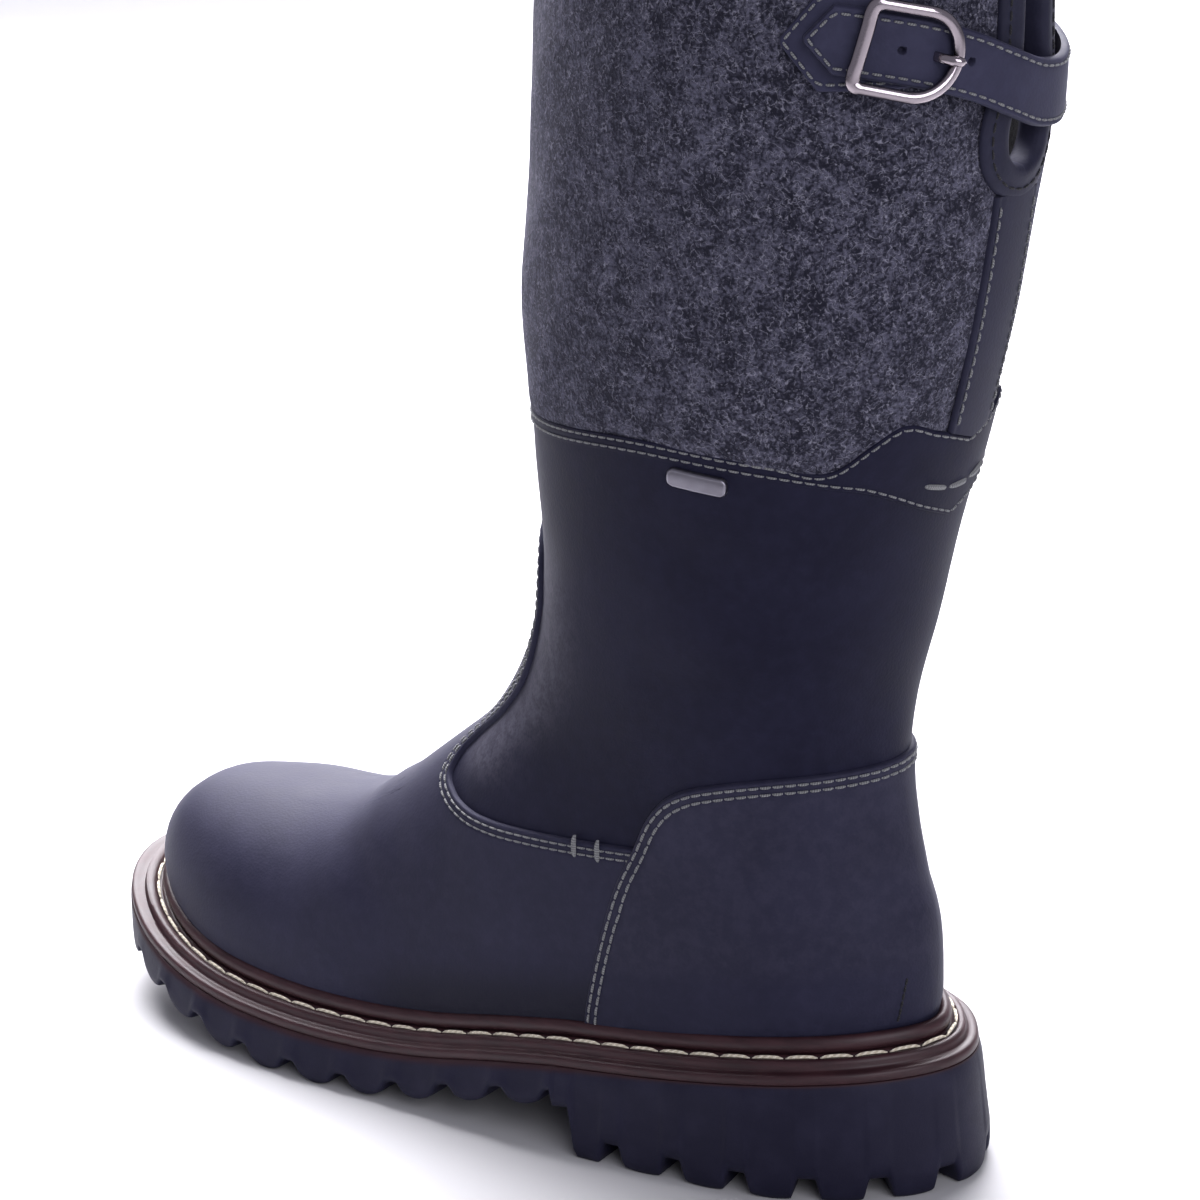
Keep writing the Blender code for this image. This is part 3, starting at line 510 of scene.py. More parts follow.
def make_sweep(name, sections, closed, finish, nodes=(), mark=None):
    """Solid through equal closed sections (path, round, xyz), joined end to end or capped."""
    count, size = sections.shape[:2]
    faces = grid_faces(count, size, True).tolist()
    if closed:
        last = (count - 1) * size + np.arange(size)
        first = np.arange(size)
        faces += np.stack([last, np.roll(last, -1), np.roll(first, -1), first], -1).tolist()
    else:
        faces += [list(range(size)), list(range((count - 1) * size, count * size))]
    return make_piece(name, sections, faces, finish, nodes, mark=mark)


print("faces of a grid of 3 by 4 points:", len(grid_faces(3, 4)))

# %% [markdown]
# ## The last
# Every piece of a boot takes its shape from the last it is pulled over. Here it is a function of two
# numbers: u runs once round the boot from the middle of the back over the outer side, and v from the sole
# up to the collar. The tables are those of the solids, apart from a millimetre or two at the heel's welt
# line and the seam band.

# %% Sizes of the sole and the last
SOLE_LENGTH = 311.5
TREAD_HEIGHT = 14.2
WELT_HEIGHT = 6.0
BREAST_X = 101.0
BREAST_RAKE = 2.0
UPPER_INSET = 10.0
TOE_LEDGE = 3.5
TOE_LEDGE_START = 245.0
RAND_INSET = 8.5
HEEL_END = -20.0
FEATHER_TUCK = 2.5
TUCK_HEIGHT = 12.0
BULGE_HEIGHT = 8.0
TOE_SQUARENESS = 2.3
UPPER_WALL = 2.4
FELT_WALL = 4.0
FELT_TOP = 366.0
FEATHER_ROWS = 4.0
SHAFT_BLEND = (78.0, 168.0)
RIDGE_TURN = 122.0
RIDGE_SLOPE = 1.3
PLAN = np.array([
    # station, swing, half
    (0.00, 0.0, 0.0), (0.02, 0.0, 17.0), (0.06, 0.0, 30.0), (0.13, 0.5, 40.5), (0.25, 3.0, 44.0),
    (0.40, 4.5, 45.0), (0.55, 1.0, 48.5), (0.68, -4.5, 54.5), (0.80, -6.5, 52.5), (0.90, -7.0, 42.5),
    (0.96, -7.5, 30.0), (1.00, -8.0, 0.0),
])
SOLE_LINE = np.array([
    # x, lift of the tread's upper edge, height of its underside
    (0.0, 21.6, 16.0), (20.0, 21.0, 16.0), (40.0, 19.5, 16.0), (75.0, 15.5, 16.0), (101.0, 12.9, 15.4),
    (110.0, 11.9, 14.2), (124.0, 9.7, 11.8), (138.0, 7.2, 9.0), (152.0, 4.3, 5.8), (167.0, 1.9, 2.7),
    (180.0, 0.6, 0.8), (192.0, 0.1, 0.0), (205.0, 0.0, 0.0), (222.0, 0.4, 0.0), (234.0, 1.1, 1.4),
    (246.0, 2.3, 3.8), (258.0, 4.0, 6.2), (270.0, 6.2, 8.8), (282.0, 9.2, 11.6), (294.0, 13.6, 14.8),
    (311.5, 22.0, 20.0),
])
SECTIONS = np.array([
    # front_x, front_z, back_x, back_z, half
    (297.5, 36.6, 12.0, 42.6, 38.0), (297.3, 44.5, 11.8, 55.0, 38.0), (295.0, 52.0, 11.8, 64.0, 38.0),
    (290.0, 59.8, 12.3, 71.0, 38.0), (279.5, 66.5, 13.3, 76.0, 39.0), (261.5, 69.6, 14.4, 79.5, 39.5),
    (238.0, 72.4, 15.9, 84.0, 40.0), (214.0, 77.2, 17.4, 91.0, 40.5), (192.0, 88.3, 19.4, 101.0, 41.0),
    (171.0, 103.0, 21.2, 117.0, 42.5), (151.5, 119.5, 19.5, 138.0, 45.0), (139.5, 142.5, 14.1, 160.0, 47.5),
    (132.0, 170.0, 8.0, 185.0, 50.5), (132.4, 205.0, -1.0, 215.0, 54.0), (131.8, 250.0, -11.5, 255.0, 57.5),
    (128.0, 300.0, -19.5, 302.0, 59.5), (123.5, 338.0, -21.5, 338.0, 59.0),
    (120.0, 372.0, -22.0, 372.0, 58.0),
])
print("sections of the last:", len(SECTIONS))

# %% [markdown]
# A table becomes a curve by cubic pieces between its rows. The sole's outline is such a curve over an angle
# rather than over the length, because that keeps its ends round.

# %% Curves of the sole
def smooth(t):
    """Soft step from 0 to 1: three squares less two cubes."""
    t = np.clip(t, 0.0, 1.0)
    return t * t * (3.0 - 2.0 * t)


def between(x, low, high):
    """The same soft step, from 0 at low to 1 at high."""
    return smooth((x - low) / (high - low))


def through(x, xs, ys):
    """Smooth curve through rows: cubic pieces that share the slope of each row's neighbours."""
    slope = np.gradient(ys, xs)
    x = np.clip(x, xs[0], xs[-1])
    k = np.clip(np.searchsorted(xs, x) - 1, 0, len(xs) - 2)
    h = xs[k + 1] - xs[k]
    t = (x - xs[k]) / h
    climb = t * t * (3.0 - 2.0 * t)
    bend = t * (1.0 - t) * h * ((1.0 - t) * slope[k] - t * slope[k + 1])
    return ys[k] * (1.0 - climb) + ys[k + 1] * climb + bend


def tread_top(x):
    """Height at which the tread meets the welt."""
    return through(x, SOLE_LINE[:, 0], SOLE_LINE[:, 1]) + TREAD_HEIGHT


def welt_top(x):
    """Height of the welt's upper face."""
    return tread_top(x) + WELT_HEIGHT


def sole_edge(theta, inset):
    """Outline of the sole at an angle (0 heel, pi toe, outer side first), moved in, more so at the toe."""
    def at(angle):
        side = np.abs(np.mod(angle + math.pi, TURN) - math.pi)
        rows = np.arccos(1.0 - 2.0 * PLAN[:, 0])
        x = SOLE_LENGTH * (1.0 - np.cos(side)) / 2.0
        y = through(side, rows, PLAN[:, 1]) + np.sign(np.sin(angle)) * through(side, rows, PLAN[:, 2])
        return np.stack([x, y], -1)
    step = 1e-3
    along = unit(at(theta + step) - at(theta - step))
    outward = np.stack([-along[..., 1], along[..., 0]], -1)
    edge = at(theta)
    toe = between(edge[..., :1], TOE_LEDGE_START, SOLE_LENGTH)
    flare = min(inset, 0.0) * (1.0 - toe)
    ledge = TOE_LEDGE * toe * np.clip(inset / RAND_INSET, 0.0, 1.0)
    return edge - (max(inset, 0.0) + flare + ledge) * outward


ROWS = np.arange(len(SECTIONS), dtype=float)
TOP_ROW = ROWS[-1]
FINE = np.linspace(0.0, TOP_ROW, 1601)
FRONT_X, FRONT_Z, BACK_X, BACK_Z, SHAFT_HALF = (through(FINE, ROWS, SECTIONS[:, k]) for k in range(5))
FOOT_ANGLE = np.linspace(0.0, math.pi, 361)
FOOT_OUTER = sole_edge(FOOT_ANGLE, UPPER_INSET)
FOOT_INNER = sole_edge(-FOOT_ANGLE, UPPER_INSET)
FOOT_ENDS = FOOT_OUTER[0, 0], FOOT_OUTER[-1, 0]
TIP_X = max(FOOT_ENDS[1], FRONT_X.max()) + 0.05
ON_FOOT = (FRONT_Z < RIDGE_TURN) & (FINE >= 1.0)
RIDGE_X = np.append(FRONT_X[ON_FOOT], HEEL_END)[::-1]
RIDGE_Z = np.append(FRONT_Z[ON_FOOT], RIDGE_TURN + RIDGE_SLOPE * (FRONT_X[ON_FOOT][-1] - HEEL_END))[::-1]
print("foot runs from", FOOT_ENDS[0], "to", round(TIP_X, 1))

# %% [markdown]
# The last itself: a point in the side view first, then how wide the boot is there. Foot sections and shaft
# ovals melt into each other at the ankle.

# %% Form of the last
def at_row(v, *curves):
    """Curves over the rows of sections, read at the share v of the way up."""
    return [np.interp(np.clip(v, 0.0, 1.0) * TOP_ROW, FINE, curve) for curve in curves]


def foot_side(share, edge):
    """Sideways place of the footprint's edge at a share of the foot's length."""
    angle = np.arccos(np.clip(1.0 - 2.0 * share, -1.0, 1.0))
    edge_share = (edge[:, 0] - FOOT_ENDS[0]) / (FOOT_ENDS[1] - FOOT_ENDS[0])
    return np.interp(angle, np.arccos(np.clip(1.0 - 2.0 * edge_share, -1.0, 1.0)), edge[:, 1])


def half_widths(x, z, back):
    """Middle line and half width at a side-view point: rounded foot sections melt into shaft ovals."""
    front = np.interp(z, FRONT_Z, FRONT_X)
    share = np.clip((x - back) / (TIP_X - back), 0.0, 1.0)
    outer = foot_side(share, FOOT_OUTER)
    inner = foot_side(share, FOOT_INNER)
    ridge = np.interp(x, RIDGE_X, RIDGE_Z)
    base = welt_top(x) + BULGE_HEIGHT
    climb = np.clip((z - base) / np.maximum(ridge - base, 1.0), 0.0, 1.0)
    foot = (outer - inner) / 2.0 * (1.0 - climb ** TOE_SQUARENESS) ** (1.0 / TOE_SQUARENESS)
    across = np.clip((2.0 * x - front - back) / (front - back), -1.0, 1.0)
    shaft = np.interp(z, BACK_Z, SHAFT_HALF) * np.sqrt(1.0 - across ** 2)
    blend = between(z, *SHAFT_BLEND)
    middle = (outer + inner) / 2.0 * (1.0 - blend)
    return middle, foot * (1.0 - blend) + shaft * blend


def side_view(u, v):
    """Side-view point (x, z): a column runs from the sole to the collar at a fixed share of each section."""
    share = (1.0 - np.cos(TURN * u)) / 2.0
    front_x, front_z, back_x, back_z = at_row(v, FRONT_X, FRONT_Z, BACK_X, BACK_Z)
    x = back_x + (front_x - back_x) * share
    chord = SECTIONS[0, 3] + (SECTIONS[0, 1] - SECTIONS[0, 3]) * share
    fade = 1.0 - smooth(v * TOP_ROW / FEATHER_ROWS)
    dip = (welt_top(x) - chord) * fade * (1.0 - (1.0 - fade) * share ** 6)
    return x, back_z + (front_z - back_z) * share + dip


def bare_form(u, v):
    """Point of the last: the side-view point, and the half width there to the side that u names."""
    x, z = side_view(u, v)
    middle, half = half_widths(x, z, *at_row(v, BACK_X))
    return np.stack([x, middle + np.sign(np.round(np.sin(TURN * u), 9)) * half, z], -1)


print("toe point of the last:", bare_form(np.array(0.5), np.array(0.0)).round(1))

# %% [markdown]
# Leather that has been worn folds. Each fold is a soft trough with a low ridge beside it, added to the
# last's own form on the way out along its normal.

# %% Creases
CREASES = np.array([
    # from x, from z, to x, to z, depth, width, ridge
    (238.0, 57.0, 210.0, 112.0, 2.8, 19.0, 0.0), (264.0, 62.0, 264.0, 90.0, 0.9, 24.0, 0.0),
    (222.0, 84.0, 178.0, 60.0, 0.90, 8.0, 0.45), (192.0, 94.0, 172.0, 68.0, 0.45, 6.0, 0.45),
    (236.0, 78.0, 206.0, 60.0, 0.45, 6.5, 0.45), (40.0, 142.0, 78.0, 150.0, 0.70, 9.0, 0.45),
    (60.0, 168.0, 104.0, 160.0, 0.60, 10.0, 0.45), (34.0, 182.0, 66.0, 190.0, 0.45, 8.0, 0.45),
])
CREASE_REACH = 0.15
CREASE_FADE = 0.4
RIDGE_AT = 1.7


def crease(point):
    """Soft folds: a trough along a side-view line, a bell curve across it, with a low ridge beside it."""
    x, z = point[..., 0, None], point[..., 2, None]
    x0, z0, x1, z1, depth, width, ridge = CREASES.T
    run_x, run_z = x1 - x0, z1 - z0
    length = np.hypot(run_x, run_z)
    along = ((x - x0) * run_x + (z - z0) * run_z) / length ** 2
    off = ((z - z0) * run_x - (x - x0) * run_z) / length / width
    fade = (smooth((along + CREASE_REACH) / CREASE_FADE)
            * smooth((1.0 + CREASE_REACH - along) / CREASE_FADE))
    return (fade * depth * (ridge * np.exp(-(off - RIDGE_AT) ** 2) - np.exp(-off ** 2))).sum(-1)


def form(u, v, offset=0.0):
    """Point of the upper's face moved out by offset along its normal, tucked in at the sole and creased."""
    u, v = np.broadcast_arrays(np.asarray(u, float), np.asarray(v, float))
    step = 2e-3
    low, high = np.clip(v - step, 0.0, 1.0), np.clip(v + step, 0.0, 1.0)
    along = bare_form(u + step, v) - bare_form(u - step, v)
    upward = bare_form(u, high) - bare_form(u, low)
    normal = unit(np.cross(upward, along))
    point = bare_form(u, v)
    height = point[..., 2] - welt_top(point[..., 0])
    tuck = FEATHER_TUCK * np.clip(1.0 - height / TUCK_HEIGHT, 0.0, 1.0) ** 2
    return point + (offset - tuck + crease(point))[..., None] * normal


print("depth of the deepest crease:", CREASES[:, 4].max())

# %% [markdown]
# Panels are drawn in the side view, so the way back is needed too: which u and v belong to a height, or to
# a point. Neither has a formula, but halving the range 26 times finds them to a hair.

# %% Places on the last
HALVINGS = 26


def halve(above, shape):
    """Share at which a test turns true: the middle of a range whose ends close in on it."""
    low, high = np.zeros(shape), np.ones(shape)
    for _ in range(HALVINGS):
        middle = (low + high) / 2.0
        over = above(middle)
        low, high = np.where(over, low, middle), np.where(over, middle, high)
    return (low + high) / 2.0


def level(u, z):
    """Share v at which the column u reaches the height z."""
    u, z = np.broadcast_arrays(np.asarray(u, float), np.asarray(z, float))
    return halve(lambda v: side_view(u, v)[1] > z, u.shape)


def locate(x, z):
    """The u and v of a side-view point on the outer side: for each v, u follows from x; v follows from z."""
    x, z = np.broadcast_arrays(np.asarray(x, float), np.asarray(z, float))

    def turn(v):
        front, back = at_row(v, FRONT_X, BACK_X)
        return np.arccos(1.0 - 2.0 * np.clip((x - back) / (front - back), 0.0, 1.0)) / TURN

    v = halve(lambda v: side_view(turn(v), v)[1] > z, x.shape)
    return turn(v), v


def on_shaft(u, z, offset):
    """Point at a height z on the shaft."""
    u, z, offset = np.broadcast_arrays(*(np.asarray(a, float) for a in (u, z, offset)))
    return form(u, level(u, z), offset)


def back_turn(y, z):
    """The u of a point at a distance y from the middle of the shaft's back."""
    return np.arcsin(np.clip(y / np.interp(z, BACK_Z, SHAFT_HALF), -1.0, 1.0)) / TURN


print("collar's half width:", round(float(form(0.25, 1.0)[1]), 1))

# %% [markdown]
# ## Stitches
# A lockstitch shows as a short bridge of thread that dives into the leather at both ends. Modelling one and
# copying it is slow by hand, so all the stitches of a row are worked out in one array: start, end, an
# arched path, and a round section that thins towards its ends.

# %% Stitches
STITCH_STEPS = 8
STITCH_SIDES = 6
STITCH_TAPER = (0.55, 0.45)


def stitch_mesh(start, end, normal, radius, arch, sink):
    """Bridges of thread: a straight run between two points, lifted as a flat arch, with a round section."""
    s = np.linspace(0.0, 1.0, STITCH_STEPS)[None, :, None]
    bow = 1.0 - (2.0 * s - 1.0) ** 4
    along = unit(end - start)
    side = np.cross(normal, along)
    path = start[:, None] * (1.0 - s) + end[:, None] * s + normal[:, None] * (arch * bow - sink)
    turn = np.linspace(0.0, TURN, STITCH_SIDES + 1)[:-1]
    thick = radius * (STITCH_TAPER[0] + STITCH_TAPER[1] * bow)
    ring = (np.cos(turn)[:, None] * side[:, None, None] + np.sin(turn)[:, None] * normal[:, None, None])
    points = path[:, :, None] + thick[:, :, None] * ring
    length = np.linalg.norm(end - start, axis=-1)[:, None, None]
    run = np.stack(np.broadcast_arrays(length * s, turn[None, None] / TURN, 0.0 * length), -1)
    return points, run


def make_stitches(name, batches, finish):
    """One mesh of many stitches: the same small grid of faces, numbered on for each one, and its end caps."""
    points, run = (np.concatenate(arrays) for arrays in zip(*batches))
    count, rows, sides = points.shape[:3]
    start = np.arange(count)[:, None, None] * rows * sides
    quads = (grid_faces(rows, sides, True)[None] + start).reshape(-1, 4)
    first = (np.arange(sides)[None] + start[:, :, 0])
    caps = np.concatenate([first[:, ::-1], first + (rows - 1) * sides])
    make_piece(name, points, quads.tolist() + caps.tolist(), finish, run=run)


def sew(curve, normal, pitch, share, radius, arch=0.30, sink=0.05):
    """Stitches along a curve of points: equal steps of its length, of which each stitch takes a share."""
    run = run_length(curve)
    count = max(int(round(run[-1] / pitch)), 1)
    begin = (np.arange(count) + (1.0 - share) / 2.0) * run[-1] / count
    finish_at = begin + share * run[-1] / count

    def read(table, where):
        return np.stack([np.interp(where, run, table[:, k]) for k in range(3)], -1)

    middle = unit(read(normal, (begin + finish_at) / 2.0))
    return stitch_mesh(read(curve, begin), read(curve, finish_at), middle, radius, arch, sink)


def sew_on_form(u, v, offset, pitch, share, radius, **shape):
    """Stitches along a line of the last, at a distance out from it."""
    curve = form(u, v, offset)
    return sew(curve, form(u, v, np.asarray(offset) + 1.0) - curve, pitch, share, radius, **shape)


seam_stitches = []
dark_stitches_and_slit_shade = []
print("one stitch has", (STITCH_STEPS - 1) * STITCH_SIDES + 2, "faces")

# %% [markdown]
# ## Sole
# The tread is one moulding. Its side is a ruled surface whose lower edge rises in an arch at every notch,
# and its underside carries those notches a little way in. Cutting the notches with Booleans works too, but
# a formula keeps every lug rounded and needs no clean-up.

# %% Tread
LUG_PITCH = 19.5
NOTCH_TOP = (2.3, 1.3)
NOTCH_MOUTH = (4.4, 4.8)
LUG_ROUND = (1.6, 5.0)
GROOVE_WIDTH = 6.0
NOTCH_RISE = (6.6, 5.0)
NOTCH_END = 15.2
NOTCH_FADE = 1.6
BREAST_CLEAR = 1.7 * NOTCH_MOUTH[0]
GROOVE_DEPTH = 4.0
GROOVE_SOFT = (1.5, 1.4)
SOLE_STEPS = 1200
RUNG_STEPS = 61
TREAD_SIDE = np.array([
    # inset, share of the height
    (0.60, 1.000), (0.15, 0.995), (-0.10, 0.970), (-0.40, 0.935), (-0.75, 0.890), (-1.00, 0.830),
    (-1.30, 0.740), (-1.60, 0.620), (-2.30, 0.380), (-2.80, 0.220), (-2.75, 0.130), (-2.40, 0.060),
    (-1.90, 0.020), (-1.20, 0.000)])
BROWN_REACH = (1.2, 2.8)
BROWN_X = (60.0, 130.0)
UNDER_INSETS = np.array([-0.2, 1.2, 2.6, 4.5, 7.0, 9.5, 12.0, 13.2, 13.8, 14.4, 15.0, 15.6, 16.4])
GROOVES = np.array([
    # place along the sole, half length, turn
    (22.0, 13.0, 0.0), (68.0, 17.0, 0.0), (146.0, 16.0, 0.30), (170.0, 20.0, -0.30),
    (222.0, 24.0, 0.30), (248.0, 20.0, -0.30)])


def tread_bottom(x):
    """Height of the tread's lowest face: the floor under heel and ball, an arch and a spring elsewhere."""
    underside = np.maximum(through(x, SOLE_LINE[:, 0], SOLE_LINE[:, 2]), 0.0)
    return underside * smooth((x - BREAST_X) / BREAST_RAKE)


def notch(theta):
    """Height of the notches along the edge: a soft step up and down again every pitch, none at the breast."""
    dense = np.linspace(0.0, TURN, 2881)
    edge = sole_edge(dense, 0.0)
    run = run_length(edge)
    pitch = run[-1] / int(run[-1] / LUG_PITCH)
    off = np.mod(np.interp(theta, dense, run), pitch) - pitch / 2.0
    x = sole_edge(theta, 0.0)[:, 0]
    height, mouth, top, lug = (np.where(x < BREAST_X, *heel_and_fore)
                               for heel_and_fore in (NOTCH_RISE, NOTCH_MOUTH, NOTCH_TOP, LUG_ROUND))
    height = height * (np.abs(x - BREAST_X) > BREAST_CLEAR)
    lobe = np.minimum(lug * (1.0 - 2.0 * np.abs(off) / pitch) ** 2, height)
    return (height - lobe) * smooth((mouth - np.abs(off)) / (mouth - top)) + lobe


def groove(x, y):
    """Depth of the cross grooves at a point of the underside: soft-edged bars."""
    x0, half, turn = GROOVES.T
    y0 = np.interp(x0 / SOLE_LENGTH, PLAN[:, 0], PLAN[:, 1])
    dx, dy = x[..., None] - x0, y[..., None] - y0
    along = np.abs(dx * np.sin(turn) + dy * np.cos(turn))
    across = np.abs(dx * np.cos(turn) - dy * np.sin(turn))
    ends = smooth((half - along) / GROOVE_SOFT[0] + 0.5)
    sides = smooth((GROOVE_WIDTH / 2.0 - across) / GROOVE_SOFT[1] + 0.5)
    return GROOVE_DEPTH * (ends * sides).max(-1)


def ring_at(theta, inset, height):
    """Ring of points round the sole at an inset; height is a function of x."""
    edge = sole_edge(theta, inset)
    return np.column_stack([edge, height(edge[:, 0])])


def make_outsole():
    """Tread: side rows from the welt down to the lugs, rows under the notches, rungs across the middle."""
    theta = np.arange(SOLE_STEPS) * TURN / SOLE_STEPS
    arch = notch(theta)
    rings = []
    for inset, share in TREAD_SIDE:
        edge = sole_edge(theta, inset)
        low = tread_bottom(edge[:, 0]) + arch
        rings.append(np.column_stack([edge, low + (tread_top(edge[:, 0]) - low) * share]))
    for inset in UNDER_INSETS:
        edge = sole_edge(theta, inset)
        low = tread_bottom(edge[:, 0]) + arch * smooth((NOTCH_END - inset) / NOTCH_FADE)
        rings.append(np.column_stack([edge, low]))
    side = np.array(rings)
    faces = [grid_faces(len(side), SOLE_STEPS, True)]
    half = SOLE_STEPS // 2
    k = np.arange(half)
    faces.append(np.stack([k, k + 1, SOLE_STEPS - k - 1, (SOLE_STEPS - k) % SOLE_STEPS], -1))
    inner = UNDER_INSETS[-1]
    near, far = sole_edge(theta[:half + 1], inner), sole_edge(-theta[:half + 1], inner)
    share = np.linspace(0.0, 1.0, RUNG_STEPS)[None, :, None]
    rungs = near[:, None] * (1.0 - share) + far[:, None] * share
    height = tread_bottom(rungs[..., 0]) + groove(rungs[..., 0], rungs[..., 1])
    faces.append(grid_faces(half + 1, RUNG_STEPS) + side.shape[0] * SOLE_STEPS)
    middle = np.concatenate([rungs, height[..., None]], -1)
    points = np.concatenate([side.reshape(-1, 3), middle.reshape(-1, 3)])
    reach = BROWN_REACH[0] + (BROWN_REACH[1] - BROWN_REACH[0]) * between(points[:, 0], *BROWN_X)
    brown = 1.0 - np.clip((tread_top(points[:, 0]) - points[:, 2]) / reach, 0.0, 1.0)
    make_piece("outsole_moulding", points, without_repeats(faces), RUBBER, ["outsole"], mark=brown,
               crease_angle=50.0)


make_outsole()

# %% [markdown]
# The welt is a profile carried round the sole: a side band, a ledge, a riser, a second ledge and the
# channel that the sole stitches lie in. The rand is a rolled bead of leather in the corner between welt and
# upper.

# %% Welt, rand and sole stitches
WELT_SECTION = np.array([
    # inset, share of the welt's height
    (1.4, -0.03), (0.35, -0.03), (0.2, 0.00), (0.2, 0.18), (0.3, 0.32), (0.6, 0.41), (1.1, 0.46), (2.0, 0.48),
    (2.9, 0.49), (3.3, 0.53), (3.5, 0.62), (3.6, 0.78), (3.8, 0.90), (4.3, 0.97), (4.9, 1.00), (5.6, 1.00),
    (5.9, 0.96), (6.1, 0.86), (6.7, 0.80), (7.3, 0.84), (7.6, 0.94), (8.1, 1.00), (15.0, 1.00), (15.0, 0.30),
    (8.0, 0.05)])
RAND_MIDDLE = (9.7, 2.45)
RAND_RADII = (2.0, 2.6)
RAND_SIDES = 14
STITCH_INSET = 6.6
STITCH_SINK = 0.35
STITCH_LEAN = 0.4
WELT_PITCH = 9.8


def carry(section, steps):
    """Closed section (inset, height over the welt's foot and top) carried round the sole."""
    theta = np.arange(steps) * TURN / steps
    rings = []
    for inset, share, lift in section:
        edge = sole_edge(theta, inset)
        low = tread_top(edge[:, 0]) + GAP
        rings.append(np.column_stack([edge, low + (welt_top(edge[:, 0]) - low) * share + lift]))
    return np.stack(rings, 1)


profile = np.column_stack([WELT_SECTION, np.zeros(len(WELT_SECTION))])
make_sweep("welt_profile", carry(profile, 640), True, BROWN, ["welt"])
turn = np.linspace(0.0, TURN, RAND_SIDES + 1)[:-1]
bead = np.column_stack([RAND_MIDDLE[0] - RAND_RADII[0] * np.cos(turn), np.ones(RAND_SIDES),
                        RAND_MIDDLE[1] + RAND_RADII[1] * np.sin(turn)])
make_sweep("rand_bead", carry(bead, 480), True, BROWN, ["rand"])
theta = np.linspace(0.0, TURN, 1441)
welt_line = ring_at(theta, STITCH_INSET, lambda x: welt_top(x) - STITCH_SINK)
above_line = ring_at(theta, STITCH_INSET - STITCH_LEAN, lambda x: welt_top(x) + (1.0 - STITCH_SINK))
welt_row = sew(welt_line, above_line - welt_line, WELT_PITCH, share=0.93, radius=0.50, arch=0.70)
make_stitches("welt_stitches", [welt_row], WELT_THREAD)

# %% [markdown]
# ## Upper
# The leather upper is the last itself, given a wall. Its seam with the felt lies under a band, so it ends
# there.

# %% Upper
BAND = np.array([
    # angle from the back in degrees, lower edge, upper edge
    (0.0, 194.5, 217.5), (15.0, 199.5, 222.0), (27.0, 204.5, 225.0), (34.0, 207.0, 220.5),
    (42.0, 208.5, 214.4), (60.0, 211.7, 216.6), (90.0, 215.5, 220.3), (130.0, 213.0, 217.8),
    (180.0, 210.4, 215.2),
])
FEATHER_V = 0.004
# A pale band of worn nap up the ankle's front, partly a painted highlight.
WORN_AND_LIT_LINE = np.array([
    # height, place along the foot of the palest line
    (98.0, 150.0), (112.0, 143.0), (125.0, 128.0), (140.0, 118.0), (160.0, 114.5), (190.0, 115.0),
])
WORN_AND_LIT_WIDTH = 11.0
WORN_AND_LIT_SHARE = (0.8, 0.3)
WORN_AND_LIT_FADE = (10.0, 25.0)
UPPER_GRID = (96, 220)


def back_angle(u):
    """Degrees from the middle of the back, to either side."""
    return np.abs(np.mod(u + 0.5, 1.0) - 0.5) * 360.0


def band_edge(u, column):
    """Height of the seam band's lower or upper edge round the shaft."""
    return through(back_angle(u), BAND[:, 0], BAND[:, column])


def joint_height(u):
    """Height at which leather upper and felt shaft meet."""
    return (band_edge(u, 1) + band_edge(u, 2)) / 2.0


def worn(point):
    """Share of worn nap and painted highlight: a bell curve across a line up the ankle's front, fading at
    both ends.
    """
    x, z = point[..., 0], point[..., 2]
    ends = smooth((z - WORN_AND_LIT_LINE[0, 0]) / WORN_AND_LIT_FADE[0]) * smooth((WORN_AND_LIT_LINE[-1, 0] - z) / WORN_AND_LIT_FADE[1])
    bell = np.exp(-((x - np.interp(z, *WORN_AND_LIT_LINE.T)) / WORN_AND_LIT_WIDTH) ** 2)
    return np.where(point[..., 1] > 0.0, *WORN_AND_LIT_SHARE) * ends * bell


def make_upper():
    """Leather wall from the sole to the seam band."""
    rows, columns = UPPER_GRID
    u = np.arange(columns) / columns
    high = level(u, joint_height(u))
    v = FEATHER_V + (high - FEATHER_V) * np.linspace(0.0, 1.0, rows)[:, None]
    u = np.broadcast_to(u, v.shape)
    outer, inner = form(u, v, 0.0), form(u, v, -UPPER_WALL)
    # The mark is a worn band up the ankle's front, partly a painted highlight.
    make_wall("upper_leather", outer, inner, True, QUARTER, ["upper"], mark=[worn(outer), worn(inner)])


make_upper()

# %% [markdown]
# ## Sewn panels
# Vamp and counter lie over the upper. Each row of a table gives a point of the panel's edge in the side
# view and where a line from there meets the sole. The far side is its mirror image.

# %% Edges of the panels
VAMP_EDGE = np.array([
    # x, z, foot x
    (73.0, 94.9, 84.0), (106.0, 93.0, 125.0), (125.0, 92.2, 147.0), (138.0, 92.0, 166.0),
    (149.0, 92.9, 186.0), (156.0, 95.0, 200.0), (160.6, 98.6, 214.0), (159.4, 104.0, 228.0),
    (154.0, 110.0, 240.0), (142.5, 120.0, 253.0), (131.8, 132.5, 264.0), (125.5, 148.0, 274.0),
    (122.8, 164.0, 282.0), (123.8, 172.0, 287.0), (126.6, 178.0, 291.0), (129.6, 182.0, 295.0),
    (131.8, 184.0, 300.0),
])
COUNTER_EDGE = np.array([
    # x, z, foot x
    (105.2, 34.8, 62.0), (103.2, 44.0, 58.0), (97.0, 68.0, 50.0), (92.0, 83.0, 45.0), (86.5, 94.0, 40.0),
    (81.0, 104.8, 36.0), (76.3, 110.2, 32.0), (69.5, 114.4, 28.0), (60.0, 117.4, 24.0), (46.0, 120.2, 19.0),
    (31.0, 121.8, 14.0), (21.5, 122.5, 11.0),
])
print("rows of vamp and counter:", len(VAMP_EDGE), len(COUNTER_EDGE))

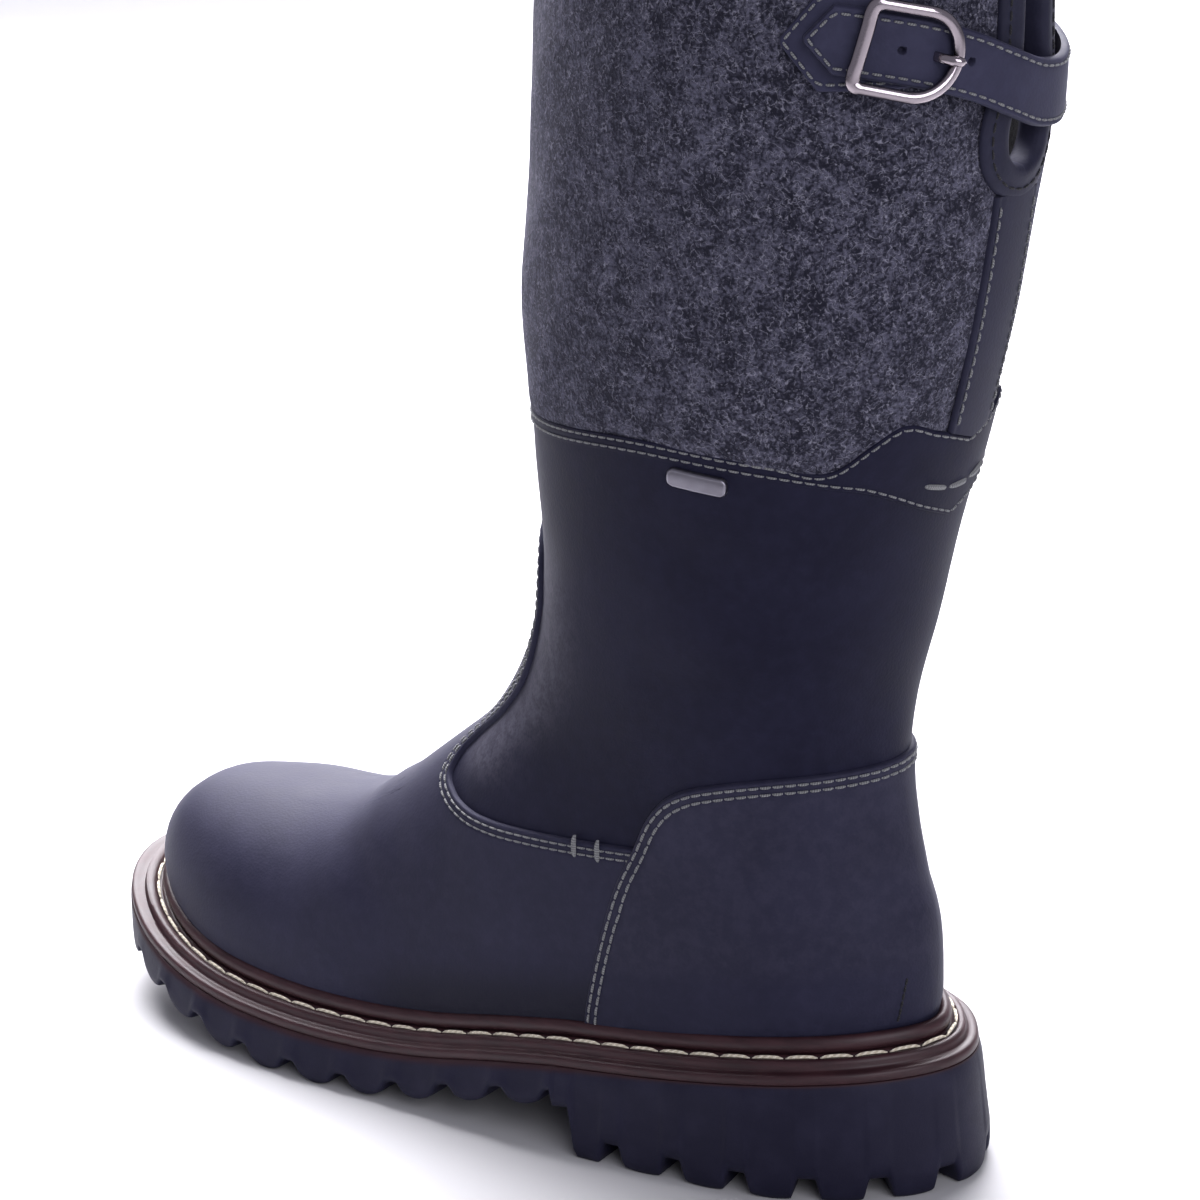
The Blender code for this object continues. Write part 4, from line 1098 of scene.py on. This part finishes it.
# %% [markdown]
# Each panel is a ruled patch: lines run from its free edge down to the sole, and rows at fixed distances
# from the edge round it off and press in the two seam lines. To run at a fixed distance, a row has to know
# how far u and v go per millimetre, square to the edge.

# %% Lines on a panel
NEAR_ROWS = np.array([0.0, 0.08, 0.25, 0.5, 0.85, 1.3, 1.7, 2.1, 2.5, 3.0, 3.6, 4.1, 4.6, 5.1, 5.7, 6.5, 8.0,
                      10.0])
FAR_ROWS = 44
FAR_REACH = 50.0
EDGE_ROUND = 0.9
OVERLAP_X = (55.0, 85.0)
SEAM_PULL = 0.25
SEAM_WIDTH = 0.6
SEAM_SINK = 0.1
SKIN = 0.05
UNDERSIDE = 0.02
PANEL_TOP = 1.5
# Painted shade above the welt: full below 10 mm and gone above 28, and gone towards the toe between x 165 and
# 205.
PAINTED_SHADE_HEIGHT = (28.0, 10.0)
PAINTED_SHADE_X = (205.0, 165.0)


def resample(table, count):
    """Smooth curve through a table's rows at equal steps of its length in the first two columns."""
    run = run_length(table[:, :2])
    at = np.linspace(0.0, run[-1], count)
    return np.stack([through(at, run, table[:, k]) for k in range(table.shape[1])], -1)


def edge_and_foot(table, count):
    """The u and v of a panel's edge, and of the points on the sole that its lines run to, on both sides."""
    x, z, foot_x = resample(table, count).T
    u, v = locate(x, z)
    share = np.clip((foot_x - BACK_X[0]) / (FRONT_X[0] - BACK_X[0]), 0.0, 1.0)
    foot_u = np.arccos(1.0 - 2.0 * share) / TURN
    ends = 0.5 * (u[-1] > 0.25)
    u[-1], foot_u[-1] = ends, ends
    edge, foot = np.column_stack([u, v]), np.column_stack([foot_u, np.full(count, 2.5 * FEATHER_V)])
    mirror = np.array([-1.0, 1.0])
    turn_round = np.array([2.0 * ends, 0.0])
    return (np.concatenate([side, (side * mirror + turn_round)[-2::-1]]) for side in (edge, foot))


def rounded(distance, radius):
    """Quarter round: 0 at an edge, 1 at a radius from it."""
    return np.sqrt(1.0 - (1.0 - np.clip(distance / radius, 0.0, 1.0)) ** 2)


def crowded(count):
    """Numbers from -1 to 1 that crowd towards both ends, where edges are rounded: sines of equal angles."""
    return np.sin(np.linspace(-0.5, 0.5, count) * math.pi)


def inward(edge, foot):
    """Change of u and v per millimetre, square to a panel's edge: solved from the form's two slopes."""
    step = 1e-3
    u, v = edge.T
    by_u = (form(u + step, v) - form(u - step, v)) / (2.0 * step)
    by_v = (form(u, v + step) - form(u, v - step)) / (2.0 * step)
    here = form(u, v)
    side = unit(np.cross(np.cross(by_u, by_v), np.gradient(here, axis=0)))
    side *= np.sign((side * (form(*foot.T) - here)).sum())
    uu, uv, vv = (by_u * by_u).sum(1), (by_u * by_v).sum(1), (by_v * by_v).sum(1)
    su, sv = (side * by_u).sum(1), (side * by_v).sum(1)
    return np.column_stack([su * vv - sv * uv, sv * uu - su * uv]) / (uu * vv - uv * uv)[:, None]


def panel_line(edge, foot, distance):
    """The u and v of the line that runs at a distance in millimetres inside a panel's edge."""
    line = edge + distance * inward(edge, foot)
    return line[:, 0], np.maximum(line[:, 1], 1.5 * FEATHER_V)


def panel_light_and_shade(point, painted_light, painted_shade):
    """Mark of a panel: painted light all over, less painted shade just above the welt, except at the toe."""
    x, z = point[..., 0], point[..., 2]
    return painted_light - painted_shade * between(z - welt_top(x), *PAINTED_SHADE_HEIGHT) * between(x, *PAINTED_SHADE_X)


# It prints the share of painted shade there, as a mark below 0.
print("share of wax just above the welt:", panel_light_and_shade(np.array([100.0, 0.0, 40.0]), 0.0, 1.0))

# %% [markdown]
# Now the panels can be laid. Rows stand close together along the edge, where the rounding and the pressed
# seams need them, and far apart down to the sole. The counter is lifted where it laps over the vamp.

# %% Sewn panels
def make_panel(name, node, table, count, top, overlap, seams, pitch, radius, painted_light, painted_shade):
    """Panel over the upper with a rounded edge and sewn seams; overlap lifts it over another one."""
    edge, foot = edge_and_foot(table, count)
    lines = [np.stack(panel_line(edge, foot, d)) for d in NEAR_ROWS]
    rest = np.linspace(0.0, 1.0, FAR_ROWS + 1)[1:]
    lines += [lines[-1] * (1.0 - s) + foot.T * s for s in rest]
    u, v = np.stack(lines, 1)
    distance = np.concatenate([NEAR_ROWS, NEAR_ROWS[-1] + FAR_REACH * rest])[:, None]
    press = sum(np.exp(-((distance - d) / SEAM_WIDTH) ** 2) for d in seams)

    def lift(u, v):
        return top + overlap * between(side_view(u, v)[0], *OVERLAP_X)

    offset = lift(u, v) * rounded(distance, EDGE_ROUND) - SEAM_PULL * press + SKIN
    walls = form(u, v, offset), form(u, v, SKIN)
    # The mark paints light over the panel and shade just above the welt.
    make_wall(name, *walls, False, NUBUCK, [node], mark=[panel_light_and_shade(wall, painted_light, painted_shade) for wall in walls])
    for d in seams:
        line = panel_line(edge, foot, d)
        seam_stitches.append(sew_on_form(*line, lift(*line) - SEAM_SINK, pitch, 0.84, radius))


# The counter is painted lighter than the vamp; the vamp gets the deeper painted shade above the welt.
make_panel("vamp_panel", "vamp", VAMP_EDGE, count=190, top=PANEL_TOP, overlap=0.0, seams=(1.9, 4.1),
           pitch=3.3, radius=0.32, painted_light=0.03, painted_shade=0.75)
make_panel("counter_panel", "counter", COUNTER_EDGE, count=150, top=PANEL_TOP, overlap=0.7, seams=(1.7, 4.1),
           pitch=3.5, radius=0.42, painted_light=0.12, painted_shade=0.30)

# %% [markdown]
# Two bar tacks lock the vamp's seams. The dart in the counter is a shaded slit above the welt, drawn as a
# short row of near-black stitches that paint its shade.

# %% Bar tacks and dart
TACKS_X = (98.0, 106.0)
TACK_Z = (94.6, 88.2)
DART_X = (16.2, 14.6)
DART_Z = (48.0, 61.0)

for x in TACKS_X:
    tack_u, tack_v = locate(x, TACK_Z)
    ends = form(tack_u, tack_v, PANEL_TOP)
    normal = form(tack_u, tack_v, PANEL_TOP + 1.0) - ends
    seam_stitches.append(stitch_mesh(ends[:1], ends[1:], normal[:1], radius=0.80, arch=0.55, sink=0.15))
# The dart's slit is painted shade: a row of near-black stitches stands in for it.
dart_u, dart_v = locate(np.linspace(*DART_X, 40), np.linspace(*DART_Z, 40))
dark_stitches_and_slit_shade.append(sew_on_form(dart_u, dart_v, 1.45, pitch=2.4, share=0.96, radius=0.42, arch=0.2,
                                 sink=0.1))
print("stitch batches so far:", len(seam_stitches))

# %% [markdown]
# ## Seam band
# The band covers the joint of leather and felt. At the back it is a deep shaped piece with its own clear
# lower edge; towards the front it narrows to the two seam rows and melts into the leather.

# %% Seam band
BAND_THICKNESS = 0.9
BAND_FRONT = 0.4
BAND_FADE = (60.0, 35.0)
BAND_ROUND = 0.8
BAND_MELT = 4.0
BAND_PULL = 0.18
BAND_SEAM = 0.5
TOP_ROW_INSET = 1.1
LOW_ROW_INSET = 1.3
DASH_HALF = 0.0445
DASH_Z = (203.6, 3.0)


def near_back(u):
    """1 at the back, where the band is a raised piece, and 0 from the sides to the front."""
    return between(back_angle(u), *BAND_FADE)


def make_band():
    """Strip between two heights: its upper edge is a quarter round, its lower edge one only near the back."""
    u = np.arange(360) / 360.0
    low, high = band_edge(u, 1), band_edge(u, 2)
    share = smooth(np.linspace(0.0, 1.0, 25))[:, None]
    z = low + (high - low) * share
    back = near_back(u)
    foot = rounded(z - low, BAND_ROUND) * back + smooth((z - low) / BAND_MELT) ** 0.5 * (1.0 - back)
    press = sum(np.exp(-(gap / BAND_SEAM) ** 2)
                for gap in (high - z - TOP_ROW_INSET, z - low - LOW_ROW_INSET))
    thick = BAND_FRONT + (BAND_THICKNESS - BAND_FRONT) * back
    offset = SKIN + thick * rounded(high - z, BAND_ROUND) * foot - BAND_PULL * press * foot
    columns = np.broadcast_to(u, z.shape)
    make_wall("seam_band_leather", on_shaft(columns, z, offset), on_shaft(columns, z, UNDERSIDE), True,
              QUARTER, ["seam_band"])
    ring = np.linspace(0.0, 1.0, 721)
    drop = (BAND_THICKNESS - BAND_FRONT) * (1.0 - near_back(ring))
    for z_line, lift in ((band_edge(ring, 2) - TOP_ROW_INSET, 0.8 - drop),
                         (band_edge(ring, 1) + LOW_ROW_INSET, 0.75 - drop)):
        seam_stitches.append(sew_on_form(ring, level(ring, z_line), lift, pitch=3.4, share=0.80, radius=0.32))
    dash = np.linspace(-DASH_HALF, DASH_HALF, 80)
    dash_z = DASH_Z[0] + DASH_Z[1] * (np.abs(dash) / DASH_HALF) ** 1.5
    seam_stitches.append(sew_on_form(dash, level(dash, dash_z), 0.85, pitch=9.2, share=0.86, radius=0.80,
                                     arch=0.55, sink=0.15))


make_band()

# %% [markdown]
# ## Felt shaft
# The shaft is the same last, in thick felt. Above the slit's lower end each row starts and stops at the
# slit's edges; below it the row closes. A slow wobble keeps the felt from looking turned on a lathe.

# %% Felt shaft and lining
SLIT_PATH = np.array([
    # half width, height
    (0.0, 291.0), (4.2, 292.0), (7.5, 295.0), (9.0, 300.5), (7.6, 310.0), (5.6, 322.0), (5.0, 336.0),
    (6.5, 376.0),
])
SLIT_LOW = SLIT_PATH[0, 1]
WAVES = (
    # depth, waves round the shaft, length of a wave up the shaft, start
    (0.30, 3.0, 19.0, 0.0), (0.22, 7.0, -11.0, 0.0), (0.16, 13.0, 7.0, 2.0),
)
FELT_ROWS = (44, 46)
FELT_INSET = 0.2
SWELL = 1.2
SWELL_START = 0.6
SWELL_ROUND = 5.0
SWELL_FADE = 40.0
LINING_ROWS = (50, 24)
LINING_FOOT = 120.0
LINING_DROP = 6.0
LINING_FACES = (-FELT_WALL - 0.2, -FELT_WALL - 1.4)


def slit_half(z):
    """Half width of the slit at a height."""
    smooth_path = resample(SLIT_PATH, 400)
    return np.where(z <= SLIT_LOW, 0.0, np.interp(z, smooth_path[:, 1], smooth_path[:, 0]))


def wobble(u, z):
    """Slow unevenness of felt: a few waves round and along the shaft."""
    return sum(depth * np.sin(count * (TURN * u) + z / length + start)
               for depth, count, length, start in WAVES)


def slit_grid(base, top, columns, rows_below, rows_above):
    """The u and z of rows from a base height to the slit, closed, and on to the top, open at the slit."""
    share = np.linspace(0.0, 1.0, columns)
    below = base(share) + (SLIT_LOW - base(share)) * np.linspace(0.0, 1.0, rows_below)[:, None]
    above = SLIT_LOW + (top - SLIT_LOW) * (np.linspace(0.0, 1.0, rows_above + 1)[1:, None] ** 1.6)
    z = np.concatenate([below, np.broadcast_to(above, (rows_above, columns))])
    edge = back_turn(slit_half(z), z)
    return edge + (1.0 - 2.0 * edge) * share, z


def make_slit_wall(name, u, z, outer, inner, rows_below, finish, nodes=()):
    """Wall over such a grid: both faces, the lower rim, and one rim up and down the slit's edges."""
    rows, columns = z.shape
    count = rows * columns
    numbers = np.arange(count).reshape(rows, columns)
    rim = np.concatenate([numbers[rows_below - 1:, 0], numbers[-1, 1:], numbers[-2:rows_below - 2:-1, -1]])
    faces = [grid_faces(rows, columns), grid_faces(rows, columns)[:, ::-1] + count,
             strip_faces(numbers[0], count, False), strip_faces(rim, count, False)[:, ::-1]]
    points = np.concatenate([on_shaft(u, z, outer).reshape(-1, 3), on_shaft(u, z, inner).reshape(-1, 3)])
    make_piece(name, points, without_repeats(faces), finish, nodes)


felt_u, felt_z = slit_grid(lambda u: joint_height(u) + GAP / 2.0, FELT_TOP, 261, *FELT_ROWS)
swell = SWELL * (1.0 - near_back(felt_u)) * rounded(felt_z - band_edge(felt_u, 2) + SWELL_START, SWELL_ROUND)
swell *= smooth((SLIT_LOW - felt_z) / SWELL_FADE)
felt_face = wobble(felt_u, felt_z) - FELT_INSET + swell
make_slit_wall("felt_shaft", felt_u, felt_z, felt_face, -FELT_WALL, FELT_ROWS[0], FELT, ["shaft"])
lining_u, lining_z = slit_grid(lambda u: LINING_FOOT + 0.0 * u, FELT_TOP - LINING_DROP, 161, *LINING_ROWS)
make_slit_wall("shaft_lining", lining_u, lining_z, *LINING_FACES, LINING_ROWS[0], LINING)

# %% [markdown]
# ## Trim of the shaft
# A strip of leather runs up the back, a facing is folded round the slit, and a binding closes the felt's
# top edge.

# %% Back strip, facing and binding
TRIM_SEAM = 1.9
TRIM_PULL = 0.2
STRIP_HALF = 10.0
STRIP_THICKNESS = 1.4
STRIP_FOOT = 220.0
STRIP_TOP = SLIT_LOW - 6.0
STRIP_SEAM_Z = (222.5, SLIT_LOW - 8.5)
FACING_SEAM = 5.2
BINDING_WIDTH = 10.0
BINDING_SEAM = 2.2
FACING_SECTION = np.array([
    # reach from the slit's edge, distance from the shaft
    (8.2, 0.0), (8.1, 0.7), (7.6, 1.3), (6.6, 1.6), (5.0, 1.5), (3.4, 1.8), (1.8, 2.1), (0.6, 2.0),
    (-0.3, 1.5), (-0.9, 0.5), (-1.1, -0.9), (-1.1, -3.2), (-0.8, -4.6), (0.2, -5.6), (2.6, -5.7), (2.6, -4.2),
    (0.1, -4.1), (0.05, 0.0)])


def strip_face(lift, thickness, inside):
    """Height of a strip's face at a distance inside its edge: a rounded edge and a pressed seam line."""
    press = np.exp(-((inside - TRIM_SEAM) / SEAM_WIDTH) ** 2)
    return lift + thickness * rounded(inside, EDGE_ROUND) - TRIM_PULL * press


def make_back_strip():
    """Strip on the shaft's back with rounded edges and a stitch row along each."""
    y = STRIP_HALF * crowded(33)
    low = band_edge(back_turn(y, STRIP_FOOT), 2) + 0.1
    z = low + (STRIP_TOP - low) * np.linspace(0.0, 1.0, 60)[:, None]
    u = back_turn(y, z)
    offset = strip_face(SKIN, STRIP_THICKNESS, STRIP_HALF - np.abs(y))
    make_wall("back_strip_leather", on_shaft(u, z, offset), on_shaft(u, z, UNDERSIDE), False, TRIM,
              ["back_strip"])
    line = np.linspace(*STRIP_SEAM_Z, 120)
    for side in (-1.0, 1.0):
        u = back_turn(side * (STRIP_HALF - TRIM_SEAM), line)
        seam_stitches.append(sew_on_form(u, level(u, line), 1.35, pitch=3.4, share=0.78, radius=0.34))


def facing_path(count):
    """Path up both edges of the slit, bottom in the middle, and its direction away from the slit."""
    half = resample(SLIT_PATH, count)
    half = half[half[:, 1] < FELT_TOP - BINDING_WIDTH - GAP]
    path = np.concatenate([half[::-1] * (-1.0, 1.0), half[1:]])
    along = unit(np.gradient(path, axis=0))
    return path, np.column_stack([along[:, 1], -along[:, 0]])


def make_facing():
    """Facing folded round the slit's edge: a section carried along the slit, with one dark seam."""
    path, away = facing_path(180)
    spots = path[:, None] + away[:, None] * FACING_SECTION[None, :, :1]
    u = back_turn(spots[..., 0], spots[..., 1])
    sections = on_shaft(u, spots[..., 1], FACING_SECTION[None, :, 1])
    make_sweep("slit_facing_leather", sections, False, TRIM, ["slit_facing"])
    line = path + away * FACING_SEAM
    u = back_turn(line[:, 0], line[:, 1])
    dark_stitches_and_slit_shade.append(sew_on_form(u, level(u, line[:, 1]), 1.45, pitch=3.6, share=0.8, radius=0.36,
                                     arch=0.25))


def make_binding():
    """Binding folded over the felt: a section carried round the collar from one edge of the slit on."""
    edge = float(back_turn(slit_half(np.array(FELT_TOP)) + 1.0, FELT_TOP))
    u = np.linspace(edge, 1.0 - edge, 241)
    low, top = FELT_TOP - BINDING_WIDTH, FELT_TOP + GAP
    inside = -FELT_WALL - GAP
    fold = np.array([
        (0.1, low), (1.3, low + 0.1), (1.7, low + 0.7), (1.7, top - 2.0), (1.5, top + 0.6), (0.7, top + 1.7),
        (-1.0, top + 2.2), (inside + 1.0, top + 2.2), (inside - 0.8, top + 1.6), (inside - 1.4, top + 0.4),
        (inside - 1.4, low + 0.6), (inside - 0.1, low), (inside, top - 0.2), (0.1, top - 0.2)])
    sections = on_shaft(u[:, None], fold[None, :, 1], fold[None, :, 0])
    make_sweep("collar_binding_leather", sections, False, TRIM, ["collar_binding"])
    seam_v = level(u, low + BINDING_SEAM)
    dark_stitches_and_slit_shade.append(sew_on_form(u, seam_v, 1.55, pitch=4.0, share=0.8, radius=0.36))


make_back_strip()
make_facing()
make_binding()

# %% [markdown]
# ## Strap and buckle
# The strap bridges the slit and its pointed end lies on a patch. Height and width are read from a short
# table along the strap; the punched holes are pits in its surface.

# %% Strap and patch
STRAP_THICKNESS = 2.2
STRAP = np.array([
    # u round the shaft, height of the middle, half width, distance from the shaft
    (-0.190, 320.5, 0.6, 0.3), (-0.168, 318.5, 8.9, 0.3), (-0.110, 313.5, 8.9, 0.4),
    (-0.060, 310.5, 8.9, 1.6), (-0.025, 310.0, 8.9, 2.4), (0.000, 311.3, 8.9, 2.3),
    (0.030, 315.8, 8.9, 2.5), (0.060, 321.0, 8.9, 2.7), (0.098, 326.0, 8.9, 3.4), (0.126, 328.5, 8.9, 2.5),
    (0.147, 330.0, 8.9, 2.2), (0.164, 330.4, 0.6, 2.2),
])
PATCH = np.array([
    # u round the shaft, half height
    (0.100, 13.0), (0.155, 13.0), (0.164, 8.3), (0.172, 4.0), (0.178, 0.8),
])
PATCH_MIDDLE = 329.5
PATCH_THICKNESS = 1.6
BUCKLE_U = 0.104
NEAR_BUCKLE = 0.02
HOLE_PLACES = np.array([-2.0, 7.2, 16.6])
HOLE_RADIUS = 0.9
HOLE_FLOOR = 0.15
HOLE_SOFT = 0.35
STRAP_SEAM = 2.0
SEWN_HALF = 1.9


def strap_at(u, column):
    """Column of the strap's table at a place round the shaft; its width has straight sides and points."""
    if column == 2:
        return np.interp(u, STRAP[:, 0], STRAP[:, 2])
    return through(u, STRAP[:, 0], STRAP[:, column])


def strap_frame():
    """Millimetres per turn at the buckle, and the strap's lean there."""
    ends = BUCKLE_U + np.array([-NEAR_BUCKLE, NEAR_BUCKLE])
    heights = strap_at(ends, 1)
    girth = np.linalg.norm(np.diff(on_shaft(ends, heights, 0.0), axis=0)) / (2.0 * NEAR_BUCKLE)
    return girth, math.atan((heights[1] - heights[0]) / (2.0 * NEAR_BUCKLE * girth))


GIRTH, LEAN = strap_frame()


def buckle_uz(along, up):
    """The u and z of a point over the strap: along it towards the back, and across it."""
    u = BUCKLE_U - (along * math.cos(LEAN) + up * math.sin(LEAN)) / GIRTH
    return u, strap_at(BUCKLE_U, 1) - along * math.sin(LEAN) + up * math.cos(LEAN)


def make_strip(name, node, u, middle, half, lift, thickness, pits):
    """Strip round the shaft: rounded edges, pressed seam line, pits where holes are punched."""
    across = crowded(81)[:, None]
    z = middle + half * across
    columns = np.broadcast_to(u, z.shape)
    inside = np.minimum(half * (1.0 - np.abs(across)), GIRTH * np.minimum(columns - u[0], u[-1] - columns))
    offset = strip_face(lift, thickness, inside)
    for hole_u, hole_z in pits:
        far = np.hypot((columns - hole_u) * GIRTH, z - hole_z)
        offset = offset - (thickness - HOLE_FLOOR) * smooth((HOLE_RADIUS - far) / HOLE_SOFT + 0.5)
    make_wall(name, on_shaft(columns, z, offset), on_shaft(columns, z, lift), False, STRAP_HIDE, [node])


def sew_strip(u, middle, half, lift, pitch):
    """Stitches inside both edges of a strip, meeting at its point."""
    line = np.maximum(half - STRAP_SEAM, 0.0)
    both = np.concatenate([u, u[::-1]])
    z = np.concatenate([middle + line, (middle - line)[::-1]])
    lift = np.concatenate([lift, lift[::-1]])
    seam_stitches.append(sew_on_form(both, level(both, z), lift, pitch, share=0.72, radius=0.34))


patch_u = np.linspace(PATCH[0, 0], PATCH[-1, 0], 90)
patch_half = np.interp(patch_u, PATCH[:, 0], PATCH[:, 1])
level_line = np.full(len(patch_u), PATCH_MIDDLE)
make_strip("strap_patch_leather", "strap_patch", patch_u, level_line, patch_half, 0.1, PATCH_THICKNESS, ())
keep = patch_half > SEWN_HALF
patch_face = np.full(keep.sum(), PATCH_THICKNESS)
sew_strip(patch_u[keep], level_line[keep], patch_half[keep], patch_face, pitch=3.2)
strap_u = np.union1d(np.linspace(STRAP[0, 0], STRAP[-1, 0], 520), STRAP[:, 0])
strap_middle, strap_half, strap_lift = (strap_at(strap_u, k) for k in (1, 2, 3))
holes = [buckle_uz(along, 0.0) for along in HOLE_PLACES]
make_strip("strap_leather", "strap", strap_u, strap_middle, strap_half, strap_lift, STRAP_THICKNESS, holes)
keep = strap_half > SEWN_HALF
strap_face = strap_lift[keep] + STRAP_THICKNESS - SEAM_SINK
sew_strip(strap_u[keep], strap_middle[keep], strap_half[keep], strap_face, pitch=3.3)

# %% [markdown]
# The buckle's frame is a rod bent to a D over the strap, and its prong a second rod that thins to a point.

# %% Buckle
ROD_TURN = np.arange(20) * TURN / 20.0
ROD_SQUARENESS = 0.95
BUCKLE_LENGTH = 26.5
BUCKLE_HEIGHT = 25.0
BUCKLE_WIRE = 1.8
BUCKLE_LIFT = GAP + 1.6
BOW_START = 1.5
BAR_END = 2.0
BAR_AND_BOW_WIDE = (1.9, 1.6)
WIRE_THICK = 1.55
BUCKLE_BAR = np.array([
    # distance in front of the bar's line, share of the half height
    (3.0, 1.0), (1.2, 0.985), (0.4, 0.93), (0.0, 0.80), (0.0, 0.4), (0.0, 0.0), (0.0, -0.4), (0.0, -0.80),
    (0.4, -0.93), (1.2, -0.985), (3.0, -1.0),
])
PRONG = np.array([
    # distance along the strap, height over it, radius
    (5.8, -0.9, 1.2), (6.5, 0.8, 1.3), (7.9, 3.1, 1.3), (9.4, 4.6, 1.3), (11.2, 4.95, 1.2),
    (12.3, 4.4, 0.8),
])


def strap_top(along, up, out):
    """Point over the strap's upper face."""
    u, z = buckle_uz(along, up)
    return on_shaft(u, z, strap_at(u, 3) + STRAP_THICKNESS + out)


def rod_sections(along, up, out, wide, thick, closed):
    """Oval sections square to a path over the strap: wide lies along its face, thick stands out from it."""
    path = strap_top(along, up, out)
    away = unit(strap_top(along, up, out + 1.0) - path)
    ahead = np.roll(path, -1, axis=0) - np.roll(path, 1, axis=0) if closed else np.gradient(path, axis=0)
    side = unit(np.cross(ahead, away))
    flat, tall = (np.sign(wave) * np.abs(wave) ** ROD_SQUARENESS
                  for wave in (np.cos(ROD_TURN), np.sin(ROD_TURN)))
    across = flat[None, :, None] * side[:, None] * np.asarray(wide)[..., None, None]
    return path[:, None] + across + tall[None, :, None] * away[:, None] * np.asarray(thick)[..., None, None]


def rod_painted_highlight(count):
    """Painted highlight of a rod's sections: 1 on the face that looks outwards, 0 underneath, where shade is
    painted.
    """
    return np.tile(0.5 + 0.5 * np.sin(ROD_TURN), (count, 1))


def make_buckle():
    """Frame with a straight bar and a round side, and the prong that rests on it."""
    half_length, half_height = BUCKLE_LENGTH / 2.0 - BUCKLE_WIRE, BUCKLE_HEIGHT / 2.0 - BUCKLE_WIRE
    angle = np.linspace(-math.pi / 2.0, math.pi / 2.0, 49)
    bow_x = BOW_START + (half_length - BOW_START) * np.cos(angle)
    bow = np.column_stack([bow_x, half_height * np.sin(angle)])
    bar = BUCKLE_BAR * (1.0, half_height) - (half_length, 0.0)
    outline = np.concatenate([bow, resample(bar, 60)[1:-1]])
    wide = np.where(outline[:, 0] < BAR_END - half_length, *BAR_AND_BOW_WIDE)
    sections = rod_sections(*outline.T, BUCKLE_LIFT, wide, np.full(len(outline), WIRE_THICK), True)
    # The mark paints a highlight on the rod's outer face and shade underneath.
    make_sweep("buckle_frame_metal", sections, True, NICKEL, ["buckle_frame"], mark=rod_painted_highlight(len(sections)))
    reach, climb, radius = resample(PRONG, 40).T
    sections = rod_sections(reach, 0.0 * reach, climb, radius, radius, False)
    make_sweep("buckle_prong_metal", sections, False, NICKEL, ["buckle_prong"], mark=rod_painted_highlight(len(sections)))


make_buckle()

# %% [markdown]
# ## Plate, footbed and the last stitches
# A small bare plate sits under the seam. Inside, a fleece footbed lies on the welt.

# %% Plate and footbed
PLATE_SIZE = (16.0, 5.4, 1.2)
PLATE_PLACE = (0.2115, 210.4)
PLATE_TILT = 58.0
PLATE_CORNER = 2.0
PLATE_LIFT = 0.1
PLATE_ROUND = 0.6
PLATE_CROWN = 0.5
RIM_WIDTH = 0.5
RIM_FADE = 0.4
FIELD_DEPTH = 0.06
SHAFT_GIRTH = 380.0
FOOTBED_INSET = 18.5
FOOTBED_HALF = 17.0
FOOTBED_ROUND = 2.0
FOOTBED_LIFT = 0.4
FOOTBED_HEIGHT = 3.4


def make_plate():
    """Bare plate: rounded rim, a shallow field inside it."""
    length, height, thickness = PLATE_SIZE
    along = crowded(61)[None, :] * length / 2.0
    corner = np.clip(np.abs(along) - length / 2.0 + PLATE_CORNER, 0.0, PLATE_CORNER)
    half = height / 2.0 - PLATE_CORNER + np.sqrt(PLATE_CORNER ** 2 - corner ** 2)
    share = crowded(31)[:, None]
    u = PLATE_PLACE[0] + along / SHAFT_GIRTH + 0.0 * share
    z = PLATE_PLACE[1] + half * share + PLATE_TILT * (u - PLATE_PLACE[0])
    inside = np.minimum(length / 2.0 - np.abs(along), half * (1.0 - np.abs(share)))
    rim = 1.0 - smooth((inside - RIM_WIDTH) / RIM_FADE)
    face = PLATE_LIFT + thickness * rounded(inside, PLATE_ROUND) - FIELD_DEPTH * (1.0 - rim)
    offset = face + PLATE_CROWN * (1.0 - share ** 2)
    make_wall("side_plate_metal", on_shaft(u, z, offset), on_shaft(u, z, SKIN), False, PEWTER,
              ["side_plate"], mark=[0.6 + 0.4 * rim, rim])


def make_footbed():
    """Crowned pad across the sole from side to side, on the welt."""
    angle = np.linspace(0.0, math.pi, 121)
    near, far = sole_edge(angle, FOOTBED_INSET), sole_edge(-angle, FOOTBED_INSET)
    rung = np.linspace(0.0, math.pi, 41)
    across = (1.0 - np.cos(rung))[None, :, None] / 2.0
    plan = near[:, None] * (1.0 - across) + far[:, None] * across
    rim = rounded(FOOTBED_HALF * np.sin(angle)[:, None] * np.sin(rung)[None], FOOTBED_ROUND)
    low = welt_top(plan[..., 0]) + FOOTBED_LIFT
    top = np.concatenate([plan, (low + FOOTBED_HEIGHT * rim)[..., None]], -1)
    bottom = np.concatenate([plan, low[..., None]], -1)
    make_wall("footbed", top, bottom, False, FLEECE, ["insole"])


make_plate()
make_footbed()
make_stitches("seam_stitches", seam_stitches, SEWING)
make_stitches("dark_stitches_and_slit_shade", dark_stitches_and_slit_shade, DARK_THREAD_AND_SLIT_SHADE)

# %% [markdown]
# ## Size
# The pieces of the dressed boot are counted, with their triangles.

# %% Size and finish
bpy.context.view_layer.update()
triangles = sum(len(p.vertices) - 2 for thing in BOOT_PIECES for p in thing.data.polygons)
print("pieces:", len(BOOT_PIECES), "triangles:", triangles)
